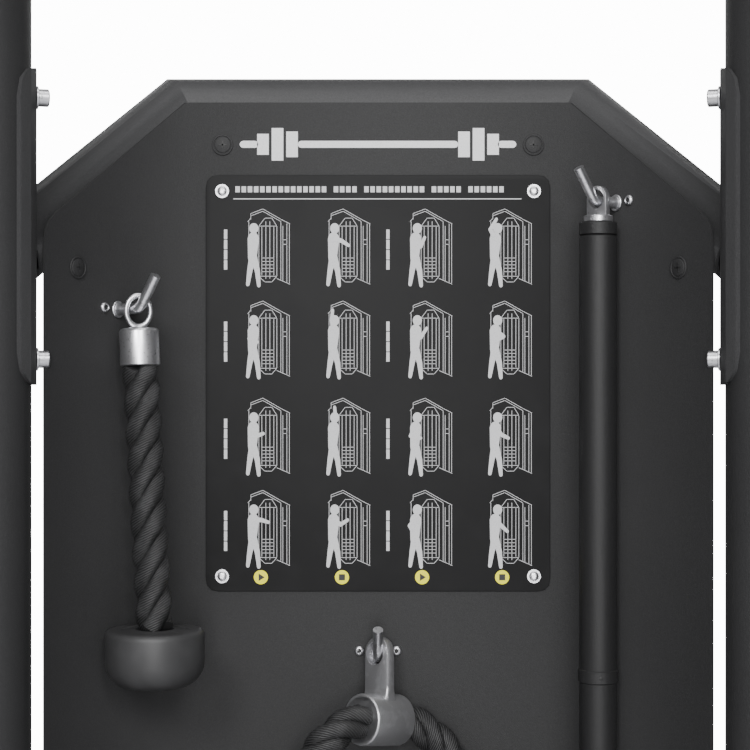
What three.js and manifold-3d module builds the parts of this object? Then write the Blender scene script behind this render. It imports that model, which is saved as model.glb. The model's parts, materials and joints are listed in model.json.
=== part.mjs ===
// A functional trainer: two weight towers joined by a folded centre panel, two adjustable
// pulley columns, a gable pull-up bar, and the accessories stored on the panel's hooks.
// Millimetres, +Z up, +Y towards the back. The right side is built and the left is its mirror.
import * as THREE from "three";
import { mergeVertices } from "three/addons/utils/BufferGeometryUtils.js";
import Module from "manifold-3d";

// ---- Driving dimensions ----------------------------------------------------------------
const GAP = 0.3; // air between pieces that bear on each other
// Centre panel: one folded sheet
const PANEL_HALF = 165; // half the width of the centre facet
const WING_WIDTH = 170;
const WING_ANGLE = THREE.MathUtils.degToRad(56.3); // the wings fold towards the user
const WING_FALL = 0.68; // fall of a wing's top edge per millimetre of its width
const PANEL_SHEET = 2;
const PANEL_TOP = 1734.5;
const PANEL_CORNER = 30;
const BEAM_HIGH = 1730; // axis height of the centre top beam
const BEAM_LOW = 315; // and of the centre bottom beam
const BEAM_RADIUS = 28.5;
const BEAM_BACK = 40; // beam axis behind the facet
const BEAM_OFFSET = 31.5; // arm axis behind the wing
const BEAM_FALL = 154; // drop of an arm between its corner and the post's axis
const TUBE_WALL = 3;
const TAB_X = 133.7; // panel screw tabs on the beams
const TAB_DROP = 32;
// Towers
const POST_RADIUS = 38;
const POST_OVER_WING = 1.6; // a post's near side overhangs the wing's outer edge by this
const POST_TOP = 1930;
const POST_FOOT_RADIUS = 60;
const FOOT_PLATE = 8;
const TOWER_SPAN = 500; // inner post to outer post
const BASE_HEIGHT = 150;
const CAP_LOW = 1850;
const CAP_HEIGHT = 100;
const CASE_WALL = 5;
const CASE_HALF_DEPTH = 60;
const CASE_BULGE = 105; // reach of a case's middle facet towards the user
const CASE_FACET = 120; // half the width of that facet
const SADDLE_HEIGHT = 243.5;
const SADDLE_WALL = 3.7;
const SADDLE_CORNER = 25;
const SADDLE_DROP = 116; // saddle middle below the top beam's axis
// Weight stacks
const PLATE_WIDTH = 300;
const PLATE_DEPTH = 110;
const PLATE_PITCH = 22;
const PLATE_GROOVE = 2;
const RESTING = 10;
const LIFTED = 5;
const ROD_RADIUS = 12.5;
const ROD_HALF_SPAN = 90;
const DAMPER_HEIGHT = 25;
const STEM_RADIUS = 12.5;
const PIN_RADIUS = 5;
const PIN_KNOB_RADIUS = 13;
// Columns and their frames
const COLUMN_BESIDE = 21.8513; // column's axis beside the outer post's
const COLUMN_AHEAD = 329.7852; // and ahead of it
const COLUMN_HALF = 30;
const COLUMN_WALL = 4;
const COLUMN_TOP = 2010;
const HOLE_RADIUS = 6.5;
const HOLE_PITCH = 75;
const REAR_POST_GAP = 160; // rear post's axis behind the column's
const REAR_POST_TOP = 2200;
const FOOT_HEIGHT = 50;
const FOOT_HALF = 40;
const CABLE_AHEAD = 75; // cable line ahead of the column's axis
const CABLE_RADIUS = 2.5;
const PULLEY_PITCH = 45; // cable axis to pulley axis
const PULLEY_RIM = 50;
const PULLEY_HALF = 8;
const AXLE_RADIUS = 6;
const PULLEY_HIGH = 2072; // axle height of the two upper pulleys
const ARM_HALF = 34; // half width of the top arm's channel
const ARM_SHEET = 6;
// Carriage, at its lowest position
const CARRIAGE_Z = 470;
const CARRIAGE_HALF = 90;
const CARRIAGE_WALL = 8;
const SLIDE_CLEARANCE = 2;
const LUG = 12;
const LUG_RADIUS = 22;
const PIVOT_RADIUS = 8.7;
const PIVOT_ROOM = 9.2; // hole radius, so that the flats clear as it turns
const CHEEK = 6;
const ARM_REACH = 105; // swivel arm's front plate ahead of the cable line
// Pull-up bar
const BAR_RADIUS = 21;
const BAR_END = 2238;
const BAR_PEAK = 2360;
const GRIP_RADIUS = 15;
const GRIP_X = 300;
const GRIP_REACH = 150;
// Placard, hooks and stored accessories
const PLACARD = { half: 148, high: 1672, low: 1314, corner: 11, sheet: 1.5 };
const HOOK_RADIUS = 4;
const HOOK_OUT = 24.3;
const HOOK_TIP = 28.5;
const HOOK_RISE = THREE.MathUtils.degToRad(57);
const LEFT_HOOK = { along: 87.3, high: 1553.6 };
const RIGHT_HOOK = { along: 60.1, high: 1643 };
const CENTER_HOOK = 1260.4;
const ROPE_RADIUS = 15;
const BUMPER_RADIUS = 40;
const BUMPER_HEIGHT = 46;
const SINGLE_ROPE = 212; // rope between ferrule and bumper
const BAR_TUBE_RADIUS = 15.5;
const BAR_LENGTH = 725;
const SLEEVE_RADIUS = 21.5;
const SLEEVE_ROOM = 4; // the rope already bends inside the sleeve
const ROPE_SEAT = 1.8; // a leaning rope's end stands this far off a level face
const SLEEVE_LENGTH = 44;
const SLEEVE_DROP = 54.7; // lug hole to sleeve axis

// ---- Places that follow from them -------------------------------------------------------
const UP = new THREE.Vector3(0, 0, 1);
const at = (x, y, z) => new THREE.Vector3(x, y, z);
const along = at(Math.cos(WING_ANGLE), -Math.sin(WING_ANGLE), 0); // inner post to outer post
const outward = at(Math.sin(WING_ANGLE), Math.cos(WING_ANGLE), 0); // away from the user
const nearWing = (w, off, z) =>
  at(PANEL_HALF, 0, z).addScaledVector(along, w).addScaledVector(outward, off);
const innerPost = nearWing(WING_WIDTH + POST_RADIUS - POST_OVER_WING, BEAM_OFFSET, 0);
const outerPost = innerPost.clone().addScaledVector(along, TOWER_SPAN);
const stack = innerPost.clone().lerp(outerPost, 0.5);
const beamCorner =
  PANEL_HALF + (BEAM_OFFSET - BEAM_BACK * outward.y) / outward.x;
const COLUMN_X = outerPost.x + COLUMN_BESIDE;
const COLUMN_Y = outerPost.y - COLUMN_AHEAD;
const rearPost = at(COLUMN_X, COLUMN_Y + REAR_POST_GAP, 0);
const cableLine = at(COLUMN_X, COLUMN_Y - CABLE_AHEAD, 0);
const across = stack.clone().sub(cableLine).normalize(); // the cable's way over the top
const axleWay = UP.clone().cross(across);
const columnPulley = cableLine
  .clone()
  .addScaledVector(across, PULLEY_PITCH)
  .setZ(PULLEY_HIGH);
const towerPulley = stack
  .clone()
  .addScaledVector(across, -PULLEY_PITCH)
  .setZ(PULLEY_HIGH);
const swivelPulley = cableLine
  .clone()
  .add(at(0, -PULLEY_PITCH, CARRIAGE_Z));
const stackLow = BASE_HEIGHT + DAMPER_HEIGHT + GAP;
const liftedLow = stackLow + RESTING * PLATE_PITCH + GAP;
const liftedTop = liftedLow + LIFTED * PLATE_PITCH;
const headTop = liftedTop + 30;
const stemTop = headTop + 40;
const pinHigh = liftedLow + PLATE_PITCH / 2;

// ---- Solids -----------------------------------------------------------------------------
const wasm = await Module();
wasm.setup();

// A closed geometry as a solid, faces turned outwards whichever way its profile ran.
function solid(geometry, matrix = new THREE.Matrix4()) {
  const loose = geometry.index ? geometry.toNonIndexed() : geometry.clone();
  const bare = new THREE.BufferGeometry();
  bare.setAttribute("position", loose.getAttribute("position"));
  bare.applyMatrix4(matrix);
  const merged = mergeVertices(bare, 1e-3);
  const place = (i) => new THREE.Vector3().fromBufferAttribute(merged.attributes.position, i);
  const faces = [];
  let volume = 0;
  for (let i = 0; i < merged.index.count; i += 3) {
    const [a, b, c] = [0, 1, 2].map((k) => merged.index.getX(i + k));
    if (a === b || b === c || c === a) continue;
    faces.push(a, b, c);
    volume += place(a).dot(place(b).cross(place(c)));
  }
  if (volume < 0) faces.reverse();
  return new wasm.Manifold(
    new wasm.Mesh({
      numProp: 3,
      vertProperties: merged.attributes.position.array,
      triVerts: new Uint32Array(faces),
    }),
  );
}

const join = (first, ...rest) => rest.reduce((sum, next) => sum.add(next), first);
const cut = (body, ...tools) => tools.reduce((left, tool) => left.subtract(tool), body);

// A frame at a point, with its x and z directions given.
function frameAt(origin, x, z = UP) {
  const y = z.clone().cross(x);
  return new THREE.Matrix4().makeBasis(x, y, z).setPosition(origin);
}

function box(low, high, frame) {
  const size = high.map((value, i) => value - low[i]);
  const middle = high.map((value, i) => (value + low[i]) / 2);
  return solid(new THREE.BoxGeometry(...size).translate(...middle), frame);
}

function rod(from, to, radius, sides = 24) {
  const way = to.clone().sub(from);
  const turn = new THREE.Quaternion().setFromUnitVectors(at(0, 1, 0), way.clone().normalize());
  const place = new THREE.Matrix4().compose(from.clone().lerp(to, 0.5), turn, at(1, 1, 1));
  return solid(new THREE.CylinderGeometry(radius, radius, way.length(), sides), place);
}

function ball(center, radius, sides = 12) {
  const geometry = new THREE.SphereGeometry(radius, sides, sides / 2);
  return solid(geometry.translate(center.x, center.y, center.z));
}

// A turned piece: [radius, height] points about the frame's z axis.
function turned(profile, sides, frame) {
  const points = profile.map(([radius, height]) => new THREE.Vector2(radius, height));
  return solid(new THREE.LatheGeometry(points, sides).rotateX(Math.PI / 2), frame);
}

// A flat outline of [x, y, corner radius] points, rounded at each corner that has a radius.
function outline(points) {
  const shape = new THREE.Shape();
  points.forEach(([x, y, radius = 0], i) => {
    const here = new THREE.Vector2(x, y);
    const before = new THREE.Vector2(...points.at(i - 1).slice(0, 2)).sub(here).normalize();
    const after = new THREE.Vector2(...points[(i + 1) % points.length].slice(0, 2));
    after.sub(here).normalize();
    const reach = radius / Math.tan(before.angleTo(after) / 2);
    const start = here.clone().addScaledVector(before, reach);
    const end = here.clone().addScaledVector(after, reach);
    if (i === 0) shape.moveTo(start.x, start.y);
    else shape.lineTo(start.x, start.y);
    if (radius > 0) shape.quadraticCurveTo(x, y, end.x, end.y);
  });
  return shape;
}

function prism(points, low, high, frame, roundness = 3) {
  const geometry = new THREE.ExtrudeGeometry(outline(points), {
    depth: high - low,
    bevelEnabled: false,
    curveSegments: roundness,
  });
  return solid(geometry.translate(0, 0, low), frame);
}

// A round cord or tube along a curve.
function swept(curve, radius, steps, sides = 8) {
  const turn = (i) => (2 * Math.PI * i) / sides;
  const ring = Array.from(
    { length: sides },
    (_, i) => new THREE.Vector2(radius * Math.cos(turn(i)), radius * Math.sin(turn(i))),
  );
  const geometry = new THREE.ExtrudeGeometry(new THREE.Shape(ring), {
    steps,
    bevelEnabled: false,
    extrudePath: curve,
  });
  return solid(geometry);
}

// Straight lengths of round bar through the points, mitred where they meet.
function mitred(points, radius, sides) {
  const ways = points.slice(1).map((to, i) => to.clone().sub(points[i]).normalize());
  const start = frameAt(points[0], ways[0].clone().cross(UP).normalize(), ways[0]);
  const first = Array.from({ length: sides }, (_, i) => {
    const turn = (2 * Math.PI * i) / sides;
    return at(radius * Math.cos(turn), radius * Math.sin(turn), 0).applyMatrix4(start);
  });
  const rings = [first];
  for (let i = 1; i < points.length; i += 1) {
    const way = ways[i - 1];
    const normal = i < ways.length ? way.clone().add(ways[i]) : way;
    const slide = (p) => points[i].clone().sub(p).dot(normal) / way.dot(normal);
    rings.push(rings[i - 1].map((p) => p.clone().addScaledVector(way, slide(p))));
  }
  const corners = [];
  for (let k = 0; k < sides; k += 1) {
    const next = (k + 1) % sides;
    for (let i = 1; i < rings.length; i += 1) {
      const [low, high] = [rings[i - 1], rings[i]];
      corners.push(low[k], low[next], high[next], low[k], high[next], high[k]);
    }
    corners.push(points[0], rings[0][next], rings[0][k]);
    corners.push(points.at(-1), rings.at(-1)[k], rings.at(-1)[next]);
  }
  return solid(new THREE.BufferGeometry().setFromPoints(corners));
}

class QuarterTurn extends THREE.Curve {
  constructor(center, from, to, radius) {
    super();
    Object.assign(this, { center, from, to, radius });
  }
  getPoint(t) {
    const angle = (t * Math.PI) / 2;
    return this.center
      .clone()
      .addScaledVector(this.from, this.radius * Math.cos(angle))
      .addScaledVector(this.to, this.radius * Math.sin(angle));
  }
}

// The same solid on the other side of the machine.
function mirrored(body) {
  const mesh = body.getMesh();
  const points = Float32Array.from(mesh.vertProperties, (value, i) => (i % 3 ? value : -value));
  return new wasm.Manifold(
    new wasm.Mesh({
      numProp: 3,
      vertProperties: points,
      triVerts: Uint32Array.from(mesh.triVerts).reverse(),
    }),
  );
}

// ---- Materials --------------------------------------------------------------------------
const finish = (color, roughness, metalness) =>
  new THREE.MeshStandardMaterial({ color, roughness, metalness });
const charcoal = finish(0x3d3e40, 0.6, 0.2);
const sheetBlack = finish(0x333436, 0.65, 0.2);
const brushed = finish(0xb9bbbd, 0.35, 1);
const chrome = finish(0xd8dadc, 0.12, 1);
const plateBlack = finish(0x2a2b2c, 0.55, 0.3);
const rubber = finish(0x1f1f20, 0.85, 0);
const ropeBlack = finish(0x242424, 0.95, 0);
const plastic = finish(0x1c1d1e, 0.45, 0);
const placardInk = finish(0x2c2c2e, 0.5, 0);

// ---- Centre frame -----------------------------------------------------------------------
// A half shell round an inner post, opening away from the beam, with rounded corners.
function saddle(post, middle, height, facing) {
  const low = middle - height / 2;
  const high = middle + height / 2;
  const outer = POST_RADIUS + GAP + SADDLE_WALL;
  const axis = (z) => at(post.x, post.y, z);
  const shell = cut(
    rod(axis(low), axis(high), outer, 24),
    rod(axis(low - 1), axis(high + 1), POST_RADIUS + GAP, 24),
  );
  const side = frameAt(axis(0), facing, facing.clone().cross(UP));
  const profile = [
    [0, low, SADDLE_CORNER],
    [2 * outer, low],
    [2 * outer, high],
    [0, high, SADDLE_CORNER],
  ];
  return shell.intersect(prism(profile, -2 * outer, 2 * outer, side));
}

// Room for a post and half of a saddle's wall, so that a tube ends inside that wall.
const postRoom = (post) =>
  rod(
    at(post.x, post.y, 0),
    at(post.x, post.y, POST_TOP),
    POST_RADIUS + GAP + SADDLE_WALL / 2,
    24,
  );

// Top or bottom beam: a level tube with mitred arms that slope to the posts' saddles.
function centerBeam(high, down) {
  const corner = at(beamCorner, BEAM_BACK, high);
  const foot = at(innerPost.x, innerPost.y, high - down * BEAM_FALL);
  const left = (p) => at(-p.x, p.y, p.z);
  const arm = foot.clone().sub(corner);
  const seat = foot.clone().addScaledVector(arm.clone().normalize(), -POST_RADIUS);
  const past = (p, radius) => p.clone().addScaledVector(arm.clone().normalize(), radius);
  const run = (radius, reach) => {
    const end = past(seat, reach);
    return mitred([left(end), left(corner), corner, end], radius, 24);
  };
  const middle = high - down * SADDLE_DROP;
  const toBeam = along.clone().negate();
  const bracket = saddle(innerPost, middle, SADDLE_HEIGHT, toBeam);
  const tab = box(
    [TAB_X - 15, PANEL_SHEET + GAP, Math.min(high, high - down * (TAB_DROP + 12))],
    [TAB_X + 15, PANEL_SHEET + 6, Math.max(high, high - down * (TAB_DROP + 12))],
  );
  const strut = box(
    [TAB_X - 15, PANEL_SHEET + GAP, Math.min(high + down * 2, high - down * 20)],
    [TAB_X + 15, BEAM_BACK, Math.max(high + down * 2, high - down * 20)],
  );
  const tabs = join(tab, strut);
  const room = postRoom(innerPost);
  const tube = cut(run(BEAM_RADIUS, 0), room, mirrored(room));
  const outside = join(tube, bracket, mirrored(bracket), tabs, mirrored(tabs));
  return cut(outside, run(BEAM_RADIUS - TUBE_WALL, POST_RADIUS));
}

// The folded sheet: a flat facet and two wings whose outer corners are sloped off.
function frontPanel() {
  const low = BEAM_LOW + BEAM_HIGH - PANEL_TOP;
  const facet = box([-PANEL_HALF, 0, low], [PANEL_HALF, PANEL_SHEET, PANEL_TOP]);
  const fall = WING_FALL * WING_WIDTH;
  const wingShape = [
    [0, low],
    [WING_WIDTH, low + fall, PANEL_CORNER],
    [WING_WIDTH, PANEL_TOP - fall, PANEL_CORNER],
    [0, PANEL_TOP],
  ];
  const plane = frameAt(at(PANEL_HALF, 0, 0), along, along.clone().cross(UP));
  const wing = prism(wingShape, -PANEL_SHEET, 0, plane);
  const fold = rod(
    at(PANEL_HALF, PANEL_SHEET / 2, low),
    at(PANEL_HALF, PANEL_SHEET / 2, PANEL_TOP),
    PANEL_SHEET / 2,
    12,
  );
  const side = join(wing, fold);
  return join(facet, side, mirrored(side));
}

function placard() {
  const { half, high, low, corner, sheet } = PLACARD;
  const shape = [
    [-half, low, corner],
    [half, low, corner],
    [half, high, corner],
    [-half, high, corner],
  ];
  return prism(shape, GAP, GAP + sheet, frameAt(at(0, 0, 0), at(1, 0, 0), at(0, -1, 0)));
}

// ---- Towers -----------------------------------------------------------------------------
const towerFrame = frameAt(stack, along);

function towerPost(place) {
  const p = (z) => at(place.x, place.y, z);
  const tube = cut(
    rod(p(FOOT_PLATE - 1), p(POST_TOP), POST_RADIUS, 24),
    rod(p(FOOT_PLATE), p(POST_TOP + 1), POST_RADIUS - TUBE_WALL, 20),
  );
  return join(tube, rod(p(0), p(FOOT_PLATE), POST_FOOT_RADIUS, 24));
}

// The three-facet outline of a tower's base and cap, in the tower's own frame.
function caseOutline(inset) {
  const half = TOWER_SPAN / 2 - 8 - inset * 7;
  const depth = CASE_HALF_DEPTH - inset * CASE_WALL;
  const bulge = CASE_BULGE - inset * CASE_WALL;
  return [
    [half, depth],
    [-half, depth],
    [-half, -depth],
    [-CASE_FACET, -bulge],
    [CASE_FACET, -bulge],
    [half, -depth],
  ];
}

function towerCase(low, high, hollowLow, hollowHigh) {
  const posts = [innerPost, outerPost].map((p) =>
    rod(at(p.x, p.y, 0), at(p.x, p.y, POST_TOP + 99), POST_RADIUS + GAP, 24),
  );
  const shell = cut(prism(caseOutline(0), low, high, towerFrame), ...posts);
  const room = join(
    ...[innerPost, outerPost].map((p) =>
      rod(at(p.x, p.y, low - 9), at(p.x, p.y, high + 9), POST_RADIUS + CASE_WALL, 24),
    ),
  );
  return cut(shell, cut(prism(caseOutline(1), hollowLow, hollowHigh, towerFrame), room));
}

function towerBase() {
  const feet = [innerPost, outerPost].map((p) =>
    rod(at(p.x, p.y, -1), at(p.x, p.y, FOOT_PLATE + GAP), POST_FOOT_RADIUS + GAP, 24),
  );
  const tray = cut(towerCase(0, BASE_HEIGHT, -1, BASE_HEIGHT - CASE_WALL), ...feet);
  const dampers = [-1, 1].map((s) => {
    const u = s * ROD_HALF_SPAN;
    const profile = [
      [ROD_RADIUS + GAP, BASE_HEIGHT - 2],
      [28, BASE_HEIGHT - 2],
      [28, BASE_HEIGHT + DAMPER_HEIGHT - 4],
      [24, BASE_HEIGHT + DAMPER_HEIGHT],
      [ROD_RADIUS + GAP, BASE_HEIGHT + DAMPER_HEIGHT],
      [ROD_RADIUS + GAP, BASE_HEIGHT - 2],
    ];
    return turned(profile, 16, towerFrame.clone().multiply(new THREE.Matrix4().setPosition(u, 0, 0)));
  });
  return join(tray, ...dampers);
}

function towerTop() {
  const cap = towerCase(
    CAP_LOW,
    CAP_LOW + CAP_HEIGHT,
    CAP_LOW - 1,
    CAP_LOW + CAP_HEIGHT - CASE_WALL,
  );
  const shelf = box([-ROD_HALF_SPAN - 30, -40, CAP_LOW], [ROD_HALF_SPAN + 30, 58, CAP_LOW + 6], towerFrame);
  const bracket = frameAt(towerPulley.clone().setZ(0), across);
  const cheeks = [-1, 1].map((s) =>
    box(
      [-45, s > 0 ? PULLEY_HALF + 2 : -PULLEY_HALF - 2 - CHEEK, CAP_LOW + CAP_HEIGHT - 2],
      [45, s > 0 ? PULLEY_HALF + 2 + CHEEK : -PULLEY_HALF - 2, PULLEY_HIGH + 25],
      bracket,
    ),
  );
  const top = CAP_LOW + CAP_HEIGHT;
  const cableHole = rod(at(stack.x, stack.y, CAP_LOW - 9), at(stack.x, stack.y, top + 9), 8, 10);
  return cut(join(cap, shelf, ...cheeks, axle(towerPulley, PULLEY_HALF + CHEEK + 5)), cableHole);
}

const axle = (center, half) =>
  rod(
    center.clone().addScaledVector(axleWay, -half),
    center.clone().addScaledVector(axleWay, half),
    AXLE_RADIUS,
    10,
  );

function guideRod(u) {
  const p = stack.clone().addScaledVector(along, u);
  return rod(
    at(p.x, p.y, BASE_HEIGHT + GAP),
    at(p.x, p.y, CAP_LOW - GAP),
    ROD_RADIUS,
    16,
  );
}

// Weight plates lying on each other, with a groove along each joint.
function plates(low, count) {
  const half = PLATE_DEPTH / 2;
  const edge = [];
  for (let i = 0; i < count; i += 1) {
    const z = low + i * PLATE_PITCH;
    const top = z + PLATE_PITCH - PLATE_GROOVE;
    edge.push([half, z], [half, top], [half - 3, top], [half - 3, z + PLATE_PITCH]);
  }
  const back = edge.toReversed().map(([y, z]) => [-y, z]);
  const side = frameAt(stack, outward, outward.clone().cross(UP));
  const body = prism([...edge, ...back], -PLATE_WIDTH / 2, PLATE_WIDTH / 2, side);
  const top = low + count * PLATE_PITCH;
  const bores = [-1, 1].map((s) => {
    const p = stack.clone().addScaledVector(along, s * ROD_HALF_SPAN);
    return rod(at(p.x, p.y, low - 9), at(p.x, p.y, top + 99), ROD_RADIUS + 1, 12);
  });
  return { body, bores, top };
}

function restingPlates() {
  const { body, bores, top } = plates(stackLow, RESTING);
  const stemRoom = rod(
    at(stack.x, stack.y, stackLow - 9),
    at(stack.x, stack.y, top + 9),
    STEM_RADIUS + 2,
    12,
  );
  return cut(body, stemRoom, ...bores);
}

function liftedPlates() {
  const { body, bores } = plates(liftedLow, LIFTED);
  const head = box([-110, -45, liftedTop - 1], [110, 45, headTop], towerFrame);
  const p = (z) => at(stack.x, stack.y, z);
  const stem = rod(p(stackLow + 8), p(headTop + 1), STEM_RADIUS, 12);
  const shank = rod(p(headTop), p(stemTop), 9, 10);
  const nut = rod(p(headTop), p(headTop + 14), 16, 6);
  const pinHole = rod(
    p(pinHigh).addScaledVector(outward, -PLATE_DEPTH),
    p(pinHigh).addScaledVector(outward, -4),
    PIN_RADIUS + 0.7,
    12,
  );
  return cut(join(body, head, stem, shank, nut), pinHole, ...bores);
}

function selectorPin() {
  const frame = towerFrame
    .clone()
    .multiply(new THREE.Matrix4().makeRotationX(-Math.PI / 2))
    .setPosition(stack.x, stack.y, pinHigh);
  const face = -PLATE_DEPTH / 2 - 1;
  const profile = [
    [0, -6],
    [PIN_RADIUS, -8],
    [PIN_RADIUS, face],
    [9, face - 1],
    [PIN_KNOB_RADIUS, face - 5],
    [PIN_KNOB_RADIUS, face - 26],
    [9, face - 31],
    [0, face - 31],
  ];
  return turned(profile, 12, frame);
}

// ---- Columns ----------------------------------------------------------------------------
function column() {
  const frame = frameAt(at(COLUMN_X, COLUMN_Y, 0), at(1, 0, 0));
  const square = (half, corner) => [
    [-half, -half, corner],
    [half, -half, corner],
    [half, half, corner],
    [-half, half, corner],
  ];
  const inside = COLUMN_HALF - COLUMN_WALL;
  const tube = cut(
    prism(square(COLUMN_HALF, 6), FOOT_HEIGHT + GAP, COLUMN_TOP - GAP, frame, 2),
    prism(square(inside, 3), FOOT_HEIGHT - 1, COLUMN_TOP + 1, frame, 1),
  );
  const holes = [];
  for (let z = CARRIAGE_Z; z < COLUMN_TOP - HOLE_PITCH; z += HOLE_PITCH) {
    const face = COLUMN_X - COLUMN_HALF;
    holes.push(
      rod(at(face - 5, COLUMN_Y, z), at(face + COLUMN_WALL + 5, COLUMN_Y, z), HOLE_RADIUS, 8),
    );
  }
  return cut(tube, ...holes);
}

// Rear post, top arm, foot and links: one welded frame that carries the column.
function columnFrame() {
  const p = (z) => at(rearPost.x, rearPost.y, z);
  const post = rod(p(FOOT_HEIGHT - 3), p(REAR_POST_TOP), POST_RADIUS, 24);
  const bore = rod(p(FOOT_HEIGHT + 2), p(REAR_POST_TOP + 1), POST_RADIUS - TUBE_WALL, 20);
  const front = cableLine.y - 35;
  const armX = (columnPulley.x + cableLine.x) / 2 - 2;
  const side = (s) =>
    box(
      [armX + (s > 0 ? ARM_HALF - ARM_SHEET : -ARM_HALF), front, COLUMN_TOP],
      [armX + (s > 0 ? ARM_HALF : ARM_SHEET - ARM_HALF), rearPost.y - 20, PULLEY_HIGH + 23],
    );
  const floor = box(
    [armX - ARM_HALF, front, COLUMN_TOP],
    [armX + ARM_HALF, rearPost.y, COLUMN_TOP + ARM_SHEET],
  );
  const cableHole = rod(
    at(cableLine.x, cableLine.y, COLUMN_TOP - 9),
    at(cableLine.x, cableLine.y, COLUMN_TOP + 30),
    9,
    10,
  );
  const foot = cut(
    box(
      [COLUMN_X - FOOT_HALF, cableLine.y - 95, 0],
      [COLUMN_X + FOOT_HALF, rearPost.y + 70, FOOT_HEIGHT],
    ),
    box(
      [COLUMN_X - FOOT_HALF + CASE_WALL, cableLine.y - 90, -1],
      [COLUMN_X + FOOT_HALF - CASE_WALL, rearPost.y + 65, FOOT_HEIGHT - CASE_WALL],
    ),
  );
  const collar = cut(
    box(
      [COLUMN_X - COLUMN_HALF - 8, COLUMN_Y - COLUMN_HALF - 8, FOOT_HEIGHT - 1],
      [COLUMN_X + COLUMN_HALF + 8, COLUMN_Y + COLUMN_HALF + 8, FOOT_HEIGHT + 40],
    ),
    box(
      [COLUMN_X - COLUMN_HALF - GAP, COLUMN_Y - COLUMN_HALF - GAP, FOOT_HEIGHT],
      [COLUMN_X + COLUMN_HALF + GAP, COLUMN_Y + COLUMN_HALF + GAP, FOOT_HEIGHT + 41],
    ),
  );
  const anchor = cut(
    rod(
      at(cableLine.x, cableLine.y, FOOT_HEIGHT - 1),
      at(cableLine.x, cableLine.y, FOOT_HEIGHT + 45),
      12,
      10,
    ),
    rod(
      at(cableLine.x, cableLine.y, FOOT_HEIGHT + 20),
      at(cableLine.x, cableLine.y, FOOT_HEIGHT + 46),
      CABLE_RADIUS + GAP + 0.2,
      12,
    ),
  );
  const toRear = rearPost.clone().sub(outerPost).normalize();
  const links = [
    [1900, 1770],
    [330, 330],
  ].map(([rearHigh, postHigh]) =>
    join(
      cut(
        rod(p(rearHigh), at(outerPost.x, outerPost.y, postHigh), 24, 16),
        postRoom(outerPost),
      ),
      saddle(outerPost, postHigh, 150, toRear),
    ),
  );
  const arm = cut(join(floor, side(1), side(-1)), cableHole);
  return join(
    cut(join(post, arm, foot, collar, ...links), bore),
    anchor,
    axle(columnPulley, 24),
  );
}

function pulley(center, way) {
  const profile = [
    [AXLE_RADIUS + GAP, -PULLEY_HALF],
    [PULLEY_RIM, -PULLEY_HALF],
    [PULLEY_RIM, -PULLEY_HALF + 2],
    [PULLEY_PITCH - 3.1, -2.4],
    [PULLEY_PITCH - 3.1, 2.4],
    [PULLEY_RIM, PULLEY_HALF - 2],
    [PULLEY_RIM, PULLEY_HALF],
    [AXLE_RADIUS + GAP, PULLEY_HALF],
    [AXLE_RADIUS + GAP, -PULLEY_HALF],
  ];
  return turned(profile, 18, frameAt(center, UP, way));
}

// The cable from the foot's anchor up the column, over both upper pulleys, to the stack.
function columnCable() {
  const foot = at(cableLine.x, cableLine.y, FOOT_HEIGHT + 20 + GAP);
  const rise = at(cableLine.x, cableLine.y, PULLEY_HIGH + 0.5);
  const top = (p) => p.clone().setZ(PULLEY_HIGH + PULLEY_PITCH);
  const back = across.clone().negate();
  return join(
    rod(foot, rise, CABLE_RADIUS, 8),
    swept(new QuarterTurn(columnPulley, back, UP, PULLEY_PITCH), CABLE_RADIUS, 7),
    rod(
      top(columnPulley).addScaledVector(across, -0.5),
      top(towerPulley).addScaledVector(across, 0.5),
      CABLE_RADIUS,
      8,
    ),
    swept(new QuarterTurn(towerPulley, UP, across, PULLEY_PITCH), CABLE_RADIUS, 7),
  );
}

const stackCable = () =>
  rod(
    at(stack.x, stack.y, stemTop + GAP),
    at(stack.x, stack.y, PULLEY_HIGH - GAP),
    CABLE_RADIUS,
    8,
  );

// ---- Carriage and swivel ----------------------------------------------------------------
function carriage() {
  const half = COLUMN_HALF + SLIDE_CLEARANCE;
  const low = CARRIAGE_Z - CARRIAGE_HALF;
  const high = CARRIAGE_Z + CARRIAGE_HALF;
  const sleeve = cut(
    box(
      [COLUMN_X - half - CARRIAGE_WALL, COLUMN_Y - half - CARRIAGE_WALL, low],
      [COLUMN_X + half + CARRIAGE_WALL, COLUMN_Y + half + CARRIAGE_WALL, high],
    ),
    box([COLUMN_X - half, COLUMN_Y - half, low - 1], [COLUMN_X + half, COLUMN_Y + half, high + 1]),
  );
  const lugs = [low, high - LUG].map((z) =>
    join(
      rod(at(cableLine.x, cableLine.y, z), at(cableLine.x, cableLine.y, z + LUG), LUG_RADIUS, 18),
      box(
        [COLUMN_X - LUG_RADIUS, cableLine.y, z],
        [COLUMN_X + LUG_RADIUS, COLUMN_Y - half - 1, z + LUG],
      ),
    ),
  );
  const face = COLUMN_X - half - CARRIAGE_WALL;
  const barrel = rod(at(face - 26, COLUMN_Y, CARRIAGE_Z), at(face + 2, COLUMN_Y, CARRIAGE_Z), 16, 16);
  return cut(
    join(sleeve, ...lugs, barrel),
    rod(at(cableLine.x, cableLine.y, low - 1), at(cableLine.x, cableLine.y, high + 1), PIVOT_ROOM, 12),
    rod(at(face - 40, COLUMN_Y, CARRIAGE_Z), at(face + 20, COLUMN_Y, CARRIAGE_Z), 5 + GAP, 10),
  );
}

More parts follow.
